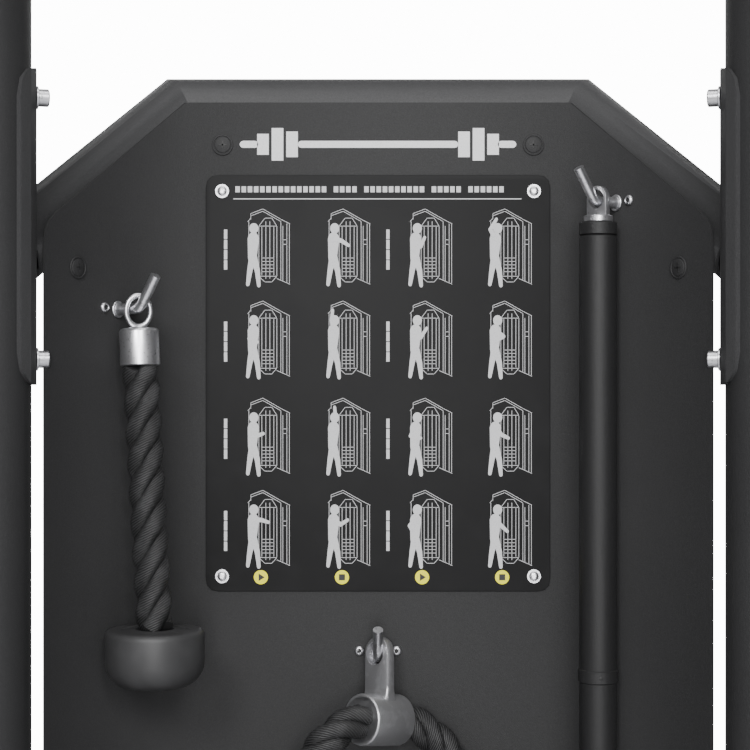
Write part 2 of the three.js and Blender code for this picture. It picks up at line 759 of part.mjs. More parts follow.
function plungerKnob() {
  const face = COLUMN_X - COLUMN_HALF - SLIDE_CLEARANCE - CARRIAGE_WALL - 26;
  const tip = COLUMN_X - COLUMN_HALF + 3;
  const profile = [
    [0, tip],
    [4, tip],
    [5, tip - 2],
    [5, face - GAP],
    [14, face - GAP],
    [17, face - 6],
    [17, face - 26],
    [13, face - 32],
    [0, face - 32],
  ];
  return turned(profile, 16, frameAt(at(0, COLUMN_Y, CARRIAGE_Z), at(0, 1, 0), at(1, 0, 0)));
}

function swivelArm() {
  const low = CARRIAGE_Z - CARRIAGE_HALF + LUG + 1;
  const high = CARRIAGE_Z + CARRIAGE_HALF - LUG - 1;
  const near = cableLine.y + 12;
  const far = cableLine.y - ARM_REACH;
  const inner = PULLEY_HALF + 2;
  const cheeks = [-1, 1].map((s) => {
    const x = s > 0 ? inner : -inner - CHEEK;
    const shape = [
      [-near, low],
      [-near + 30, low],
      [-far, CARRIAGE_Z - PULLEY_PITCH - 20, 8],
      [-far, CARRIAGE_Z - PULLEY_PITCH + 22, 14],
      [-near + 30, high, 6],
      [-near, high],
    ];
    return prism(shape, x, x + CHEEK, frameAt(at(cableLine.x, 0, 0), at(0, -1, 0), at(1, 0, 0)).multiply(
      new THREE.Matrix4().makeScale(1, -1, 1),
    ));
  });
  const plates = [low, high - 8].map((z) =>
    join(
      rod(at(cableLine.x, cableLine.y, z), at(cableLine.x, cableLine.y, z + 8), LUG_RADIUS - 4, 16),
      box(
        [cableLine.x - inner - 1, cableLine.y - 22, z],
        [cableLine.x + inner + 1, cableLine.y, z + 8],
      ),
    ),
  );
  const pins = rod(
    at(cableLine.x, cableLine.y, low - LUG),
    at(cableLine.x, cableLine.y, high + LUG),
    PIVOT_RADIUS,
    12,
  );
  const between = box(
    [cableLine.x - 30, cableLine.y - 30, low + 1],
    [cableLine.x + 30, cableLine.y + 30, high - 1],
  );
  const nose = box(
    [cableLine.x - inner - 1, far, CARRIAGE_Z - PULLEY_PITCH - 18],
    [cableLine.x + inner + 1, far + 7, CARRIAGE_Z - PULLEY_PITCH + 18],
  );
  const spindle = rod(
    swivelPulley.clone().add(at(-inner - CHEEK - 3, 0, 0)),
    swivelPulley.clone().add(at(inner + CHEEK + 3, 0, 0)),
    AXLE_RADIUS,
    10,
  );
  const exit = at(cableLine.x, far - 5, CARRIAGE_Z - PULLEY_PITCH);
  return cut(
    join(...cheeks, ...plates, cut(pins, between), nose, spindle),
    rod(at(cableLine.x, cableLine.y, low - 20), at(cableLine.x, cableLine.y, high + 20), 4, 12),
    rod(exit, exit.clone().add(at(0, 20, 0)), 4.5, 12),
  );
}

// Stop ball, swivel and eye at the end of the working cable.
function cableEnd() {
  const far = cableLine.y - ARM_REACH;
  const high = CARRIAGE_Z - PULLEY_PITCH;
  const p = (y) => at(cableLine.x, y, high);
  const stop = turned(
    [
      [0, 0],
      [9, 0],
      [15, 6],
      [15, 18],
      [8, 27],
      [5, 34],
      [0, 34],
    ],
    12,
    frameAt(p(far - GAP), at(1, 0, 0), at(0, -1, 0)),
  );
  const eye = new THREE.TorusGeometry(13, 3.2, 6, 16);
  const ring = solid(eye.rotateY(Math.PI / 2).translate(cableLine.x, far - 44, high));
  return join(rod(p(swivelPulley.y), p(far - 5), CABLE_RADIUS, 8), stop, ring);
}

// ---- Pull-up bar ------------------------------------------------------------------------
function pullUpBar() {
  const y = rearPost.y;
  const peak = at(0, y, BAR_PEAK);
  const end = at(rearPost.x + 22, y, BAR_END);
  const slope = (x) => BAR_PEAK + ((BAR_END - BAR_PEAK) * x) / end.x;
  const grip = at(GRIP_X, y, slope(GRIP_X));
  const fittings = join(
    rod(at(rearPost.x, y, REAR_POST_TOP + GAP), at(rearPost.x, y, REAR_POST_TOP + 12), 42, 20),
    rod(at(rearPost.x, y, REAR_POST_TOP + 10), at(rearPost.x, y, slope(rearPost.x)), 24, 16),
    rod(grip, grip.clone().add(at(0, -GRIP_REACH, 25)), GRIP_RADIUS, 12),
  );
  const run = (radius, reach) => {
    const far = end.clone().add(at(reach, 0, (-reach * (BAR_PEAK - BAR_END)) / end.x));
    return mitred([at(-far.x, y, far.z), peak, far], radius, 18);
  };
  const outside = join(run(BAR_RADIUS, 0), fittings, mirrored(fittings));
  return cut(outside, run(BAR_RADIUS - TUBE_WALL, 2));
}

// ---- Hooks and stored accessories -------------------------------------------------------
// A hook's own frame: x along the panel, y up, z out of the panel.
const rightWing = (w, z) => frameAt(nearWing(w, 0, z), along, along.clone().cross(UP));
const leftWing = (w, z) =>
  frameAt(
    at(-PANEL_HALF - along.x * w, along.y * w, z),
    at(along.x, -along.y, 0),
    at(along.x, -along.y, 0).cross(UP),
  );
const facet = (z) => frameAt(at(0, 0, z), at(1, 0, 0), at(0, -1, 0));
const hookTip = (place) => {
  const way = at(0, Math.sin(HOOK_RISE), Math.cos(HOOK_RISE));
  return way.transformDirection(place);
};

function hook(place) {
  const p = (y, z) => at(0, y, z).applyMatrix4(place);
  const bend = p(0, HOOK_OUT);
  const tip = bend.clone().addScaledVector(hookTip(place), HOOK_TIP);
  return join(
    rod(p(0, GAP), p(0, 3.5), 8, 12),
    rod(p(0, 3), p(0, 6), 6, 12),
    rod(p(0, 1), bend, HOOK_RADIUS, 10),
    ball(bend, HOOK_RADIUS, 10),
    rod(bend, tip, HOOK_RADIUS, 10),
    ball(tip, HOOK_RADIUS, 10),
  );
}

const hookLeft = leftWing(LEFT_HOOK.along, LEFT_HOOK.high);
const hookRight = rightWing(RIGHT_HOOK.along, RIGHT_HOOK.high);
const hookCenter = facet(CENTER_HOOK);

// Single rope handle: it leans out from the wing so that its bumper clears the sheet.
const EYE = at(1, -1.8, 22.1);
const EYE_TURN = THREE.MathUtils.degToRad(-35); // it hangs turned a little to the user
const FERRULE = { radius: 16, top: 15.6, length: 30.5 }; // top: below the hook's axis
const ropeTop = at(EYE.x, -(FERRULE.top + FERRULE.length), EYE.z + 2);
const ropeEnd = at(0, ropeTop.y - SINGLE_ROPE, BUMPER_RADIUS + 0.6);

function ropeFitting() {
  const oval = new THREE.TorusGeometry(10, 2, 8, 20).scale(1, 1.25, 1);
  const ring = solid(oval.rotateY(EYE_TURN).translate(EYE.x, EYE.y, EYE.z), hookLeft);
  const top = at(EYE.x, -FERRULE.top, EYE.z + 0.5).applyMatrix4(hookLeft);
  const low = ropeTop.clone().applyMatrix4(hookLeft);
  const way = top.clone().sub(low).normalize();
  const shell = turned(
    [
      [0, 0],
      [FERRULE.radius, 0],
      [FERRULE.radius, FERRULE.length - 2],
      [FERRULE.radius - 2, FERRULE.length],
      [0, FERRULE.length],
    ],
    20,
    frameAt(low.addScaledVector(way, GAP), at(1, 0, 0).transformDirection(hookLeft), way),
  );
  return join(ring, shell);
}

function singleRope() {
  const top = ropeTop.clone().applyMatrix4(hookLeft);
  const end = ropeEnd.clone().applyMatrix4(hookLeft);
  const way = end.clone().sub(top).normalize();
  const curve = new THREE.LineCurve3(
    top.addScaledVector(way, ROPE_SEAT / 2),
    end.addScaledVector(way, -ROPE_SEAT),
  );
  return swept(curve, ROPE_RADIUS, 4, 10);
}

// A rubber bumper: a cup with a small rounded rim and a deep round bottom.
function bumper(top, across) {
  const edge = (count, from, to, radius, center) =>
    Array.from({ length: count + 1 }, (_, i) => {
      const angle = from + ((to - from) * i) / count;
      return [center[0] + radius * Math.cos(angle), center[1] + radius * Math.sin(angle)];
    });
  const R = BUMPER_RADIUS;
  const H = BUMPER_HEIGHT;
  const profile = [
    [0, -H],
    ...edge(4, -Math.PI / 2, 0, 20, [R - 20, 20 - H]),
    ...edge(2, 0, Math.PI / 2, 4, [R - 4, -4]),
    [0, 0],
  ];
  return turned(profile, 20, frameAt(top, across));
}

// Straight bar: its eye plate hangs on the right hook.
const BAR_OUT = 20.3;
const barTop = at(0, -28, BAR_OUT); // below the hook's axis
const BAR_LUG_TURN = THREE.MathUtils.degToRad(13);
function barEye() {
  const shape = [
    [-10, -14],
    [10, -14],
    [10, 13, 9],
    [-10, 13, 9],
  ];
  const plane = hookRight
    .clone()
    .multiply(new THREE.Matrix4().makeTranslation(0, 0, BAR_OUT))
    .multiply(new THREE.Matrix4().makeRotationY(BAR_LUG_TURN));
  const plate = prism(shape, -3, 3, plane);
  const p = (y) => at(0, y, BAR_OUT).applyMatrix4(hookRight);
  const collar = rod(p(-11.5), p(-17.5), 12, 18);
  const sleeve = rod(p(-17), p(barTop.y + GAP), 15.6, 20);
  const hole = rod(at(0, 2, -9).applyMatrix4(plane), at(0, 2, 9).applyMatrix4(plane), 7.6, 16);
  return cut(join(plate, collar, sleeve), hole);
}

function bar() {
  const top = barTop.clone().applyMatrix4(hookRight);
  const r = BAR_TUBE_RADIUS;
  const ring = BAR_LENGTH / 2;
  const profile = [
    [0, 0],
    [r, 0],
    [r, -ring + 6],
    [r + 1.2, -ring + 5],
    [r + 1.2, -ring - 5],
    [r, -ring - 6],
    [r, -BAR_LENGTH + 12],
    [r + 1.2, -BAR_LENGTH + 11],
    [r + 1.2, -BAR_LENGTH + 2],
    [r - 1, -BAR_LENGTH],
    [0, -BAR_LENGTH],
  ];
  return turned(profile, 20, frameAt(top, along));
}

// Double rope: its lug leans so that the sleeve and the rope clear the facet.
const LUG_TURN = THREE.MathUtils.degToRad(-45);
const LUG_LEAN = THREE.MathUtils.degToRad(-11.5);
const lugFrame = new THREE.Matrix4()
  .makeTranslation(1.2, -22, CENTER_HOOK + 3.2)
  .multiply(new THREE.Matrix4().makeRotationX(LUG_LEAN))
  .multiply(new THREE.Matrix4().makeRotationZ(-LUG_TURN));
const sleevePoint = (x) => at(x, 0, -SLEEVE_DROP).applyMatrix4(lugFrame);

function centerSleeve() {
  const half = SLEEVE_LENGTH / 2;
  const tube = cut(
    rod(sleevePoint(-half), sleevePoint(half), SLEEVE_RADIUS, 20),
    rod(sleevePoint(-half - 1), sleevePoint(half + 1), ROPE_RADIUS + SLEEVE_ROOM, 20),
  );
  const shape = [
    [-15, -SLEEVE_DROP + SLEEVE_RADIUS - 4],
    [15, -SLEEVE_DROP + SLEEVE_RADIUS - 4],
    [14, 14.5, 13],
    [-14, 14.5, 13],
  ];
  const plane = lugFrame
    .clone()
    .multiply(new THREE.Matrix4().makeRotationZ(Math.PI / 2))
    .multiply(new THREE.Matrix4().makeRotationX(Math.PI / 2));
  const lug = prism(shape, -3, 3, plane);
  const hole = rod(
    at(-9, 1.5, 0.4).applyMatrix4(lugFrame),
    at(9, 1.5, 0.4).applyMatrix4(lugFrame),
    9.8,
    16,
  );
  return cut(join(tube, lug), hole);
}

// The rope's route: up one leg, through the sleeve and down the other.
const ROPE_ROUTE = [
  at(-76, -47, 938),
  at(-77, -48, 1010),
  at(-76, -52, 1080),
  at(-72, -59, 1133),
  at(-60, -66, 1174),
  at(-38, -62, 1202),
  sleevePoint(-SLEEVE_LENGTH / 2),
  sleevePoint(0),
  sleevePoint(SLEEVE_LENGTH / 2),
  at(37, -16.5, 1200),
  at(61, -17, 1175),
  at(76, -21, 1131),
  at(81, -29, 1080),
  at(82, -38, 1010),
  at(81, -43, 938),
];

const centerRope = () =>
  swept(new THREE.CatmullRomCurve3(ROPE_ROUTE, false, "centripetal"), ROPE_RADIUS, 32, 10);

// ---- Assembly ---------------------------------------------------------------------------
const machine = new THREE.Group();

function add(name, body, material) {
  const mesh = body.getMesh();
  const geometry = new THREE.BufferGeometry();
  geometry.setAttribute("position", new THREE.BufferAttribute(mesh.vertProperties, 3));
  geometry.setIndex(new THREE.BufferAttribute(mesh.triVerts, 1));
  const node = new THREE.Mesh(geometry, material);
  node.name = name;
  machine.add(node);
}

add("center_top_beam", centerBeam(BEAM_HIGH, 1), charcoal);
add("center_bottom_beam", centerBeam(BEAM_LOW, -1), charcoal);
add("front_panel", frontPanel(), sheetBlack);
add("placard", placard(), placardInk);
add("pull_up_bar", pullUpBar(), charcoal);

const sidePieces = {
  inner_post: [towerPost(innerPost), charcoal],
  outer_post: [towerPost(outerPost), charcoal],
  tower_base: [towerBase(), charcoal],
  tower_top: [towerTop(), charcoal],
  guide_rod_inner: [guideRod(-ROD_HALF_SPAN), chrome],
  guide_rod_outer: [guideRod(ROD_HALF_SPAN), chrome],
  resting_plates: [restingPlates(), plateBlack],
  lifted_plates: [liftedPlates(), plateBlack],
  selector_pin: [selectorPin(), plastic],
  column: [column(), chrome],
  column_frame: [columnFrame(), charcoal],
  carriage: [carriage(), charcoal],
  plunger_knob: [plungerKnob(), plastic],
  swivel_arm: [swivelArm(), charcoal],
  swivel_pulley: [pulley(swivelPulley, at(1, 0, 0)), plastic],
  column_pulley: [pulley(columnPulley, axleWay), plastic],
  tower_pulley: [pulley(towerPulley, axleWay), plastic],
  column_cable: [columnCable(), plastic],
  stack_cable: [stackCable(), plastic],
  cable_end: [cableEnd(), plastic],
};
for (const [name, [body, material]] of Object.entries(sidePieces)) {
  add(name + "_right", body, material);
  add(name + "_left", mirrored(body), material);
}

add("hook_left", hook(hookLeft), brushed);
add("hook_right", hook(hookRight), brushed);
add("hook_center", hook(hookCenter), brushed);
add("rope_fitting", ropeFitting(), brushed);
add("single_rope", singleRope(), ropeBlack);
const singleEnd = ropeEnd.clone().applyMatrix4(hookLeft);
add("single_bumper", bumper(singleEnd, at(1, 0, 0)), rubber);
add("bar_eye", barEye(), brushed);
add("bar", bar(), charcoal);
add("center_sleeve", centerSleeve(), brushed);
add("center_rope", centerRope(), ropeBlack);
for (const [name, end] of [
  ["center_bumper_left", ROPE_ROUTE[0]],
  ["center_bumper_right", ROPE_ROUTE.at(-1)],
]) {
  add(name, bumper(end.clone().add(at(0, 0, -ROPE_SEAT)), at(1, 0, 0)), rubber);
}

// The origin is on the floor under the middle of the machine's outline.
const outlineBox = new THREE.Box3().setFromObject(machine);
machine.position.y = -(outlineBox.min.y + outlineBox.max.y) / 2;

export default machine;
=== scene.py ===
import json
import math

import bpy
from mathutils import Matrix, Vector


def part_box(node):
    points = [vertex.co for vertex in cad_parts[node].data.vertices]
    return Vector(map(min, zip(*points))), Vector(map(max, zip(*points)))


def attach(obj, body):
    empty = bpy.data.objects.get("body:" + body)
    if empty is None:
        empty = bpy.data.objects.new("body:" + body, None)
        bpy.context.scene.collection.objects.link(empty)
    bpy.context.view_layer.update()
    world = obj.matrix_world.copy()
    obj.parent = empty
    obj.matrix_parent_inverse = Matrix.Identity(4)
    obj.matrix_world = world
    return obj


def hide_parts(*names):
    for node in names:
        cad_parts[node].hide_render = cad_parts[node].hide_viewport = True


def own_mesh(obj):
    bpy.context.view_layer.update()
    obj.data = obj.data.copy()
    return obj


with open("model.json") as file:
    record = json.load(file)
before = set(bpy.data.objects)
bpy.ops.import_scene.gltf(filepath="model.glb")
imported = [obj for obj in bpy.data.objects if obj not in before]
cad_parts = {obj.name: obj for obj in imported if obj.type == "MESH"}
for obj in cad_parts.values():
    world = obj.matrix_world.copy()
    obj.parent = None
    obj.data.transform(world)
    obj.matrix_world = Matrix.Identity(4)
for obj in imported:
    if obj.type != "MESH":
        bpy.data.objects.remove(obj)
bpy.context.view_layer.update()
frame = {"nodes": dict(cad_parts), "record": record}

# ---- Sizes, in metres, and places taken from the frame ------------------------------------
MM = 0.001
SHEET = 2 * MM
FACET_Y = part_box("front_panel")[1].y - SHEET
PANEL_HALF = 0.165
PANEL_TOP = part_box("front_panel")[1].z
PANEL_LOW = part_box("front_panel")[0].z
WING = math.radians(56.3)
WING_COS = math.cos(WING)
WING_SIN = math.sin(WING)
UP = Vector((0, 0, 1))
EYE_ACROSS = -2.6 * MM
EYE_AHEAD = 1.463  # from the facet, towards the user
EYE_HEIGHT = 1.5
SADDLE_RADIUS = 42 * MM
BEAM_RADIUS = 28.5 * MM
ROPE_RADIUS = 15 * MM
REAR_POST_X = 605 * MM
REAR_POST_AHEAD = 740 * MM  # rear posts ahead of the centre facet
HOOK_RADIUS = 4.3 * MM
HOOK_OUT = 24.3 * MM
HOOK_TIP = 31.5 * MM
HOOK_RISE = math.radians(57)
SIDES = {"right": 1, "left": -1}


def middle(node):
    low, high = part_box(node)
    return (low + high) / 2


def along(side):
    """The way a wing and its tower run, away from the middle of the machine."""
    return Vector((side * WING_COS, -WING_SIN, 0))


def to_user(side):
    """The way a wing faces."""
    return Vector((-side * WING_SIN, -WING_COS, 0))


def axes(origin, x, z):
    """A frame at a point with its x and z directions given."""
    x = Vector(x).normalized()
    z = Vector(z).normalized()
    y = z.cross(x)
    turn = Matrix((x, y, z)).transposed().to_4x4()
    return Matrix.Translation(origin) @ turn


def wing_frame(side, distance, high):
    """On a wing's front face: x level along the sheet, y up, z out towards the user."""
    origin = Vector((side * PANEL_HALF, FACET_Y, high)) + along(side) * distance
    normal = to_user(side)
    return axes(origin, UP.cross(normal), normal)


def facet_frame(x, high):
    return axes((x, FACET_Y, high), (1, 0, 0), (0, -1, 0))


# ---- Shader maths -------------------------------------------------------------------------
class Value:
    """A shader socket that takes part in arithmetic."""

    def __init__(self, graph, socket):
        self.graph = graph
        self.socket = socket

    def __add__(self, other):
        return self.graph.math("ADD", self, other)

    def __sub__(self, other):
        return self.graph.math("SUBTRACT", self, other)

    def __rsub__(self, other):
        return self.graph.math("SUBTRACT", other, self)

    def __mul__(self, other):
        return self.graph.math("MULTIPLY", self, other)

    __radd__ = __add__
    __rmul__ = __mul__

    def power(self, other):
        return self.graph.math("POWER", self, other)

    def sine(self):
        return self.graph.math("SINE", self, 0.0)


class Graph:
    """One material's nodes."""

    def __init__(self, name):
        self.material = bpy.data.materials.new(name)
        self.material.use_nodes = True
        self.tree = self.material.node_tree
        self.tree.nodes.clear()

    def node(self, kind, settings=None, inputs=None, output=0):
        made = self.tree.nodes.new(kind)
        for key, value in (settings or {}).items():
            if key == "stops":
                self.stops(made.color_ramp, value)
            else:
                setattr(made, key, value)
        for key, value in (inputs or {}).items():
            if isinstance(value, Value):
                self.tree.links.new(value.socket, made.inputs[key])
            else:
                made.inputs[key].default_value = value
        return Value(self, made.outputs[output])

    @staticmethod
    def stops(ramp, values):
        while len(ramp.elements) < len(values):
            ramp.elements.new(0.5)
        for element, (place, shade) in zip(ramp.elements, values):
            element.position = place
            element.color = (shade, shade, shade, 1)

    def math(self, operation, first, second):
        return self.node("ShaderNodeMath", {"operation": operation}, {0: first, 1: second})

    def coordinates(self, kind="Object"):
        return self.node("ShaderNodeTexCoord", output=kind)

    def stretched(self, scale, kind="Object"):
        return self.node(
            "ShaderNodeMapping", inputs={"Vector": self.coordinates(kind), "Scale": scale}
        )

    def noise(self, scale, detail=2.0, vector=None, roughness=0.5):
        inputs = {"Scale": scale, "Detail": detail, "Roughness": roughness}
        inputs["Vector"] = vector or self.coordinates()
        return self.node("ShaderNodeTexNoise", inputs=inputs)

    def ramp(self, factor, *stops):
        return self.node("ShaderNodeValToRGB", {"stops": stops}, {"Fac": factor})

    def mix(self, factor, first, second):
        return self.node(
            "ShaderNodeMix",
            {"data_type": "RGBA"},
            {0: factor, 6: first, 7: second},
            output=2,
        )

    def bump(self, height, distance, strength=1.0, normal=None):
        inputs = {"Height": height, "Distance": distance, "Strength": strength}
        if normal:
            inputs["Normal"] = normal
        return self.node("ShaderNodeBump", inputs=inputs)

    def surface(self, color, roughness, metallic=0.0, normal=None, **fixed):
        inputs = {"Base Color": color, "Roughness": roughness, "Metallic": metallic}
        if normal:
            inputs["Normal"] = normal
        inputs.update({key.replace("_", " "): value for key, value in fixed.items()})
        shader = self.node("ShaderNodeBsdfPrincipled", inputs=inputs, output="BSDF")
        self.node_output(shader)
        return self.material

    def node_output(self, shader):
        target = self.tree.nodes.new("ShaderNodeOutputMaterial")
        self.tree.links.new(shader.socket, target.inputs["Surface"])


def grey(value):
    return (value, value, value * 1.03, 1)


def tone(value, spread):
    """Darker and lighter shades of one grey."""
    return grey(value * (1 - spread)), grey(value * (1 + spread))


# ---- Finishes -----------------------------------------------------------------------------
def powder_coat(name, shade, rough, grain):
    """Matte coat with a fine grain, soft clouding and faint light specks."""
    g = Graph(name)
    clouds = g.noise(7, 3)
    specks = g.ramp(g.noise(grain * 1.6, 1), (0.62, 0.0), (0.74, 1.0))
    mottle = g.ramp(g.noise(760, 3, roughness=0.7), (0.34, 0.0), (0.66, 1.0))
    base = g.mix(clouds * 0.4 + mottle * 0.6, *tone(shade, 0.24))
    flecked = g.mix(specks * 0.45, base, grey(shade * 2.4))
    grains = g.noise(grain, 3, roughness=0.65)
    peel = g.noise(grain * 0.22, 2)
    normal = g.bump(grains + peel * 0.5, 0.3 * MM, 0.7)
    roughness = clouds * 0.1 + grains * 0.12 + (rough - 0.11)
    return g.surface(flecked, roughness, normal=normal, Specular_IOR_Level=0.3)


def blasted_steel(name):
    """Bead-blasted steel: an even fine grain, faintly clouded, with bright rubbed places."""
    g = Graph(name)
    clouds = g.noise(45, 3)
    grains = g.noise(1900, 3, roughness=0.7)
    rubbed = g.ramp(g.noise(120, 4), (0.52, 0.0), (0.7, 1.0))
    base = g.mix(grains, grey(0.4), grey(0.62))
    worn = g.mix(rubbed * 0.4, base, grey(0.78))
    roughness = grains * 0.1 + clouds * 0.08 + 0.3
    return g.surface(worn, roughness, 0.88, g.bump(grains, 0.08 * MM, 0.6))


def satin_steel(name, shade=0.74, rough=0.3):
    """Turned steel: fine lines round the piece, clouded gloss and a few dark marks."""
    g = Graph(name)
    lines = g.noise(1, 4, g.stretched((260, 260, 5200)), 0.7)
    cross = g.noise(1, 3, g.stretched((2600, 2600, 160)), 0.6)
    clouds = g.noise(60, 3)
    marks = g.ramp(g.noise(420, 4), (0.3, 0.0), (0.42, 1.0))
    bright = g.mix(clouds, *tone(shade, 0.16))
    base = g.mix(marks, grey(shade * 0.62), bright)
    roughness = lines * 0.16 + clouds * 0.12 + (rough - 0.12)
    normal = g.bump(lines + cross * 0.4, 0.02 * MM, 0.5)
    return g.surface(base, roughness, 1.0, normal)


def chrome(name):
    g = Graph(name)
    smears = g.noise(9, 4, roughness=0.6)
    dust = g.ramp(g.noise(900, 2), (0.66, 0.0), (0.8, 1.0))
    base = g.mix(smears, *tone(0.74, 0.05))
    normal = g.bump(g.noise(40, 2), 0.03 * MM, 0.15)
    return g.surface(base, smears * 0.1 + dust * 0.12 + 0.03, 1.0, normal)


def moulded(name, shade, rough, grain=1400, bump=0.08, shine=0.5):
    """Moulded plastic or rubber with a leathery grain and rubbed patches."""
    g = Graph(name)
    clouds = g.noise(18, 4)
    grains = g.noise(grain, 3, roughness=0.6)
    rubbed = g.ramp(g.noise(34, 5), (0.5, 0.0), (0.72, 1.0))
    base = g.mix(clouds, *tone(shade, 0.14))
    dusty = g.mix(rubbed * 0.3, base, grey(shade * 1.9))
    normal = g.bump(grains, bump * MM, 0.6)
    roughness = grains * 0.12 + rubbed * 0.08 + (rough - 0.1)
    return g.surface(dusty, roughness, normal=normal, Specular_IOR_Level=shine)


def rope_fibre():
    """Black laid nylon: fine yarns wind round each strand, darker in the grooves between them as
    painted shade, with paler broken fibres.
    """
    g = Graph("rope_fibre")
    pieces = g.node("ShaderNodeSeparateXYZ", inputs={"Vector": g.coordinates("UV")})
    around = pieces
    lengthwise = Value(g, pieces.socket.node.outputs[1])
    wobble = g.noise(3.0, 3, g.stretched((6, 160, 1), "UV"))
    phase = around * (2 * math.pi * 18) - lengthwise * 1700 + wobble * 2.2
    yarns = phase.sine() * 0.5 + 0.5
    fibres = g.noise(1.0, 4, g.stretched((60, 2600, 1), "UV"), 0.7)
    wear = g.ramp(g.noise(55, 4), (0.48, 0.0), (0.7, 1.0))
    # Colour follows the yarns' height: painted shade in the grooves between yarns.
    dark = g.mix(yarns, grey(0.005), grey(0.034))
    worn = g.mix(wear * fibres, dark, grey(0.06))
    height = yarns.power(0.6) + fibres * 0.35
    normal = g.bump(height, 0.5 * MM, 0.9)
    return g.surface(worn, fibres * 0.18 + 0.42, normal=normal, Specular_IOR_Level=0.4)


def printed(name, color, rough=0.5):
    """Screen-printed ink with slightly uneven cover."""
    g = Graph(name)
    cover = g.ramp(g.noise(1500, 3), (0.25, 0.0), (0.5, 1.0))
    thin = tuple(part * 0.78 for part in color[:3]) + (1,)
    normal = g.bump(g.noise(2600, 2), 0.03 * MM, 0.4)
    return g.surface(g.mix(cover, thin, color), cover * 0.08 + rough, normal=normal)


def enamel(name):
    """Semi-gloss enamel over castings, with orange peel and edge scuffs."""
    g = Graph(name)
    clouds = g.noise(11, 3)
    peel = g.noise(420, 2)
    scuffs = g.ramp(g.noise(70, 6, roughness=0.7), (0.6, 0.0), (0.68, 1.0))
    base = g.mix(clouds, *tone(0.034, 0.15))
    scuffed = g.mix(scuffs * 0.4, base, grey(0.12))
    roughness = scuffs * 0.2 + clouds * 0.1 + 0.3
    return g.surface(scuffed, roughness, normal=g.bump(peel, 0.12 * MM, 0.5))


def floor_finish():
    g = Graph("pale_floor")
    clouds = g.noise(2.2, 4)
    return g.surface(g.mix(clouds, grey(0.74), grey(0.8)), 0.55)


FINISH = {
    "frame_coat": powder_coat("frame_coat", 0.026, 0.5, 1500),
    "panel_coat": powder_coat("panel_coat", 0.022, 0.6, 1300),
    "bar_coat": powder_coat("bar_coat", 0.016, 0.4, 2200),
    "placard_print": moulded("placard_sheet", 0.013, 0.62, 3000, 0.02, 0.16),
    "satin_steel": satin_steel("satin_steel"),
    "rope": rope_fibre(),
    "rubber": moulded("bumper_rubber", 0.034, 0.5, 900, 0.12),
    "chrome": chrome("column_chrome"),
    "plate_paint": enamel("plate_enamel"),
    "black_plastic": moulded("black_nylon", 0.026, 0.45, 2000, 0.05),
    "cable_jacket": moulded("cable_jacket", 0.02, 0.35, 2600, 0.02),
}
# A lighter copy of the frame coat for the centre beams: painted light, as the beams carry the same
# powder coat as the posts.
LIT_BEAM_COAT = powder_coat("frame_coat_lit_for_beams", 0.048, 0.48, 1500)
ZINC = satin_steel("zinc_hardware", 0.72, 0.32)
BLASTED_STEEL = blasted_steel("blasted_steel")
PALE_INK = printed("pale_ink", (0.6, 0.6, 0.61, 1))
WORDMARK_INK = printed("bright_ink", (0.8, 0.8, 0.81, 1))
YELLOW_INK = printed("yellow_ink", (0.92, 0.86, 0.0, 1))
DARK_INK = printed("dark_ink", (0.015, 0.015, 0.016, 1))
# Near-black: painted shade in the hook screws' sockets and the panel caps' crosses; the bar's set
# screw and collar pins are near-black too.
RECESS_SHADE_AND_PIN_BLACK = moulded("recess_shade_and_pin_black", 0.008, 0.6, 1500, 0.02)


# ---- Modelling helpers --------------------------------------------------------------------
def only(piece):
    bpy.ops.object.select_all(action="DESELECT")
    piece.select_set(True)
    bpy.context.view_layer.objects.active = piece


def edit(piece, *steps):
    """Runs edit-mode steps on a whole piece."""
    only(piece)
    bpy.ops.object.mode_set(mode="EDIT")
    bpy.ops.mesh.select_all(action="SELECT")
    for step in steps:
        step()
    bpy.ops.object.mode_set(mode="OBJECT")


def bevel(piece, width, segments=3, angle=math.radians(35)):
    only(piece)
    made = piece.modifiers.new("bevel", "BEVEL")
    made.width = width
    made.segments = segments
    made.limit_method = "ANGLE"
    made.angle_limit = angle
    made.harden_normals = False
    bpy.ops.object.modifier_apply(modifier=made.name)


def smooth(piece, angle=math.radians(35)):
    only(piece)
    bpy.ops.object.shade_smooth_by_angle(angle=angle)


def settle(piece, name, place=None):
    """Puts a piece modelled at the origin in its place, and names it."""
    only(piece)
    bpy.ops.object.transform_apply(location=True, rotation=True, scale=True)
    if place is not None:
        piece.data.transform(place)
    piece.name = name
    piece.data.name = name
    return piece


def dress(piece, slot, body="root", material=None, replaces=()):
    piece.data.materials.clear()
    piece.data.materials.append(material or FINISH[slot])
    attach(piece, body)
    if replaces:
        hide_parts(*replaces)
    return piece


def turned(name, profile, place, sides=64, soft=0.0):
    """A turned piece: a disc extruded and resized ring by ring through [radius, height]."""
    radius, height = profile[0]
    bpy.ops.object.select_all(action="DESELECT")
    bpy.ops.mesh.primitive_circle_add(
        vertices=sides, radius=radius, fill_type="NGON", location=(0, 0, height)
    )
    piece = bpy.context.object
    bpy.ops.object.transform_apply(location=True)
    bpy.ops.object.mode_set(mode="EDIT")
    bpy.ops.mesh.select_all(action="SELECT")
    for wide, high in profile[1:]:
        bpy.ops.mesh.extrude_region_move(
            TRANSFORM_OT_translate={"value": (0, 0, high - height)}
        )
        ratio = wide / radius
        bpy.ops.transform.resize(value=(ratio, ratio, 1), center_override=(0, 0, high))
        radius, height = wide, high
    bpy.ops.mesh.select_all(action="SELECT")
    bpy.ops.mesh.normals_make_consistent(inside=False)
    bpy.ops.object.mode_set(mode="OBJECT")
    if soft:
        bevel(piece, soft, 2)
    smooth(piece)
    return settle(piece, name, place)


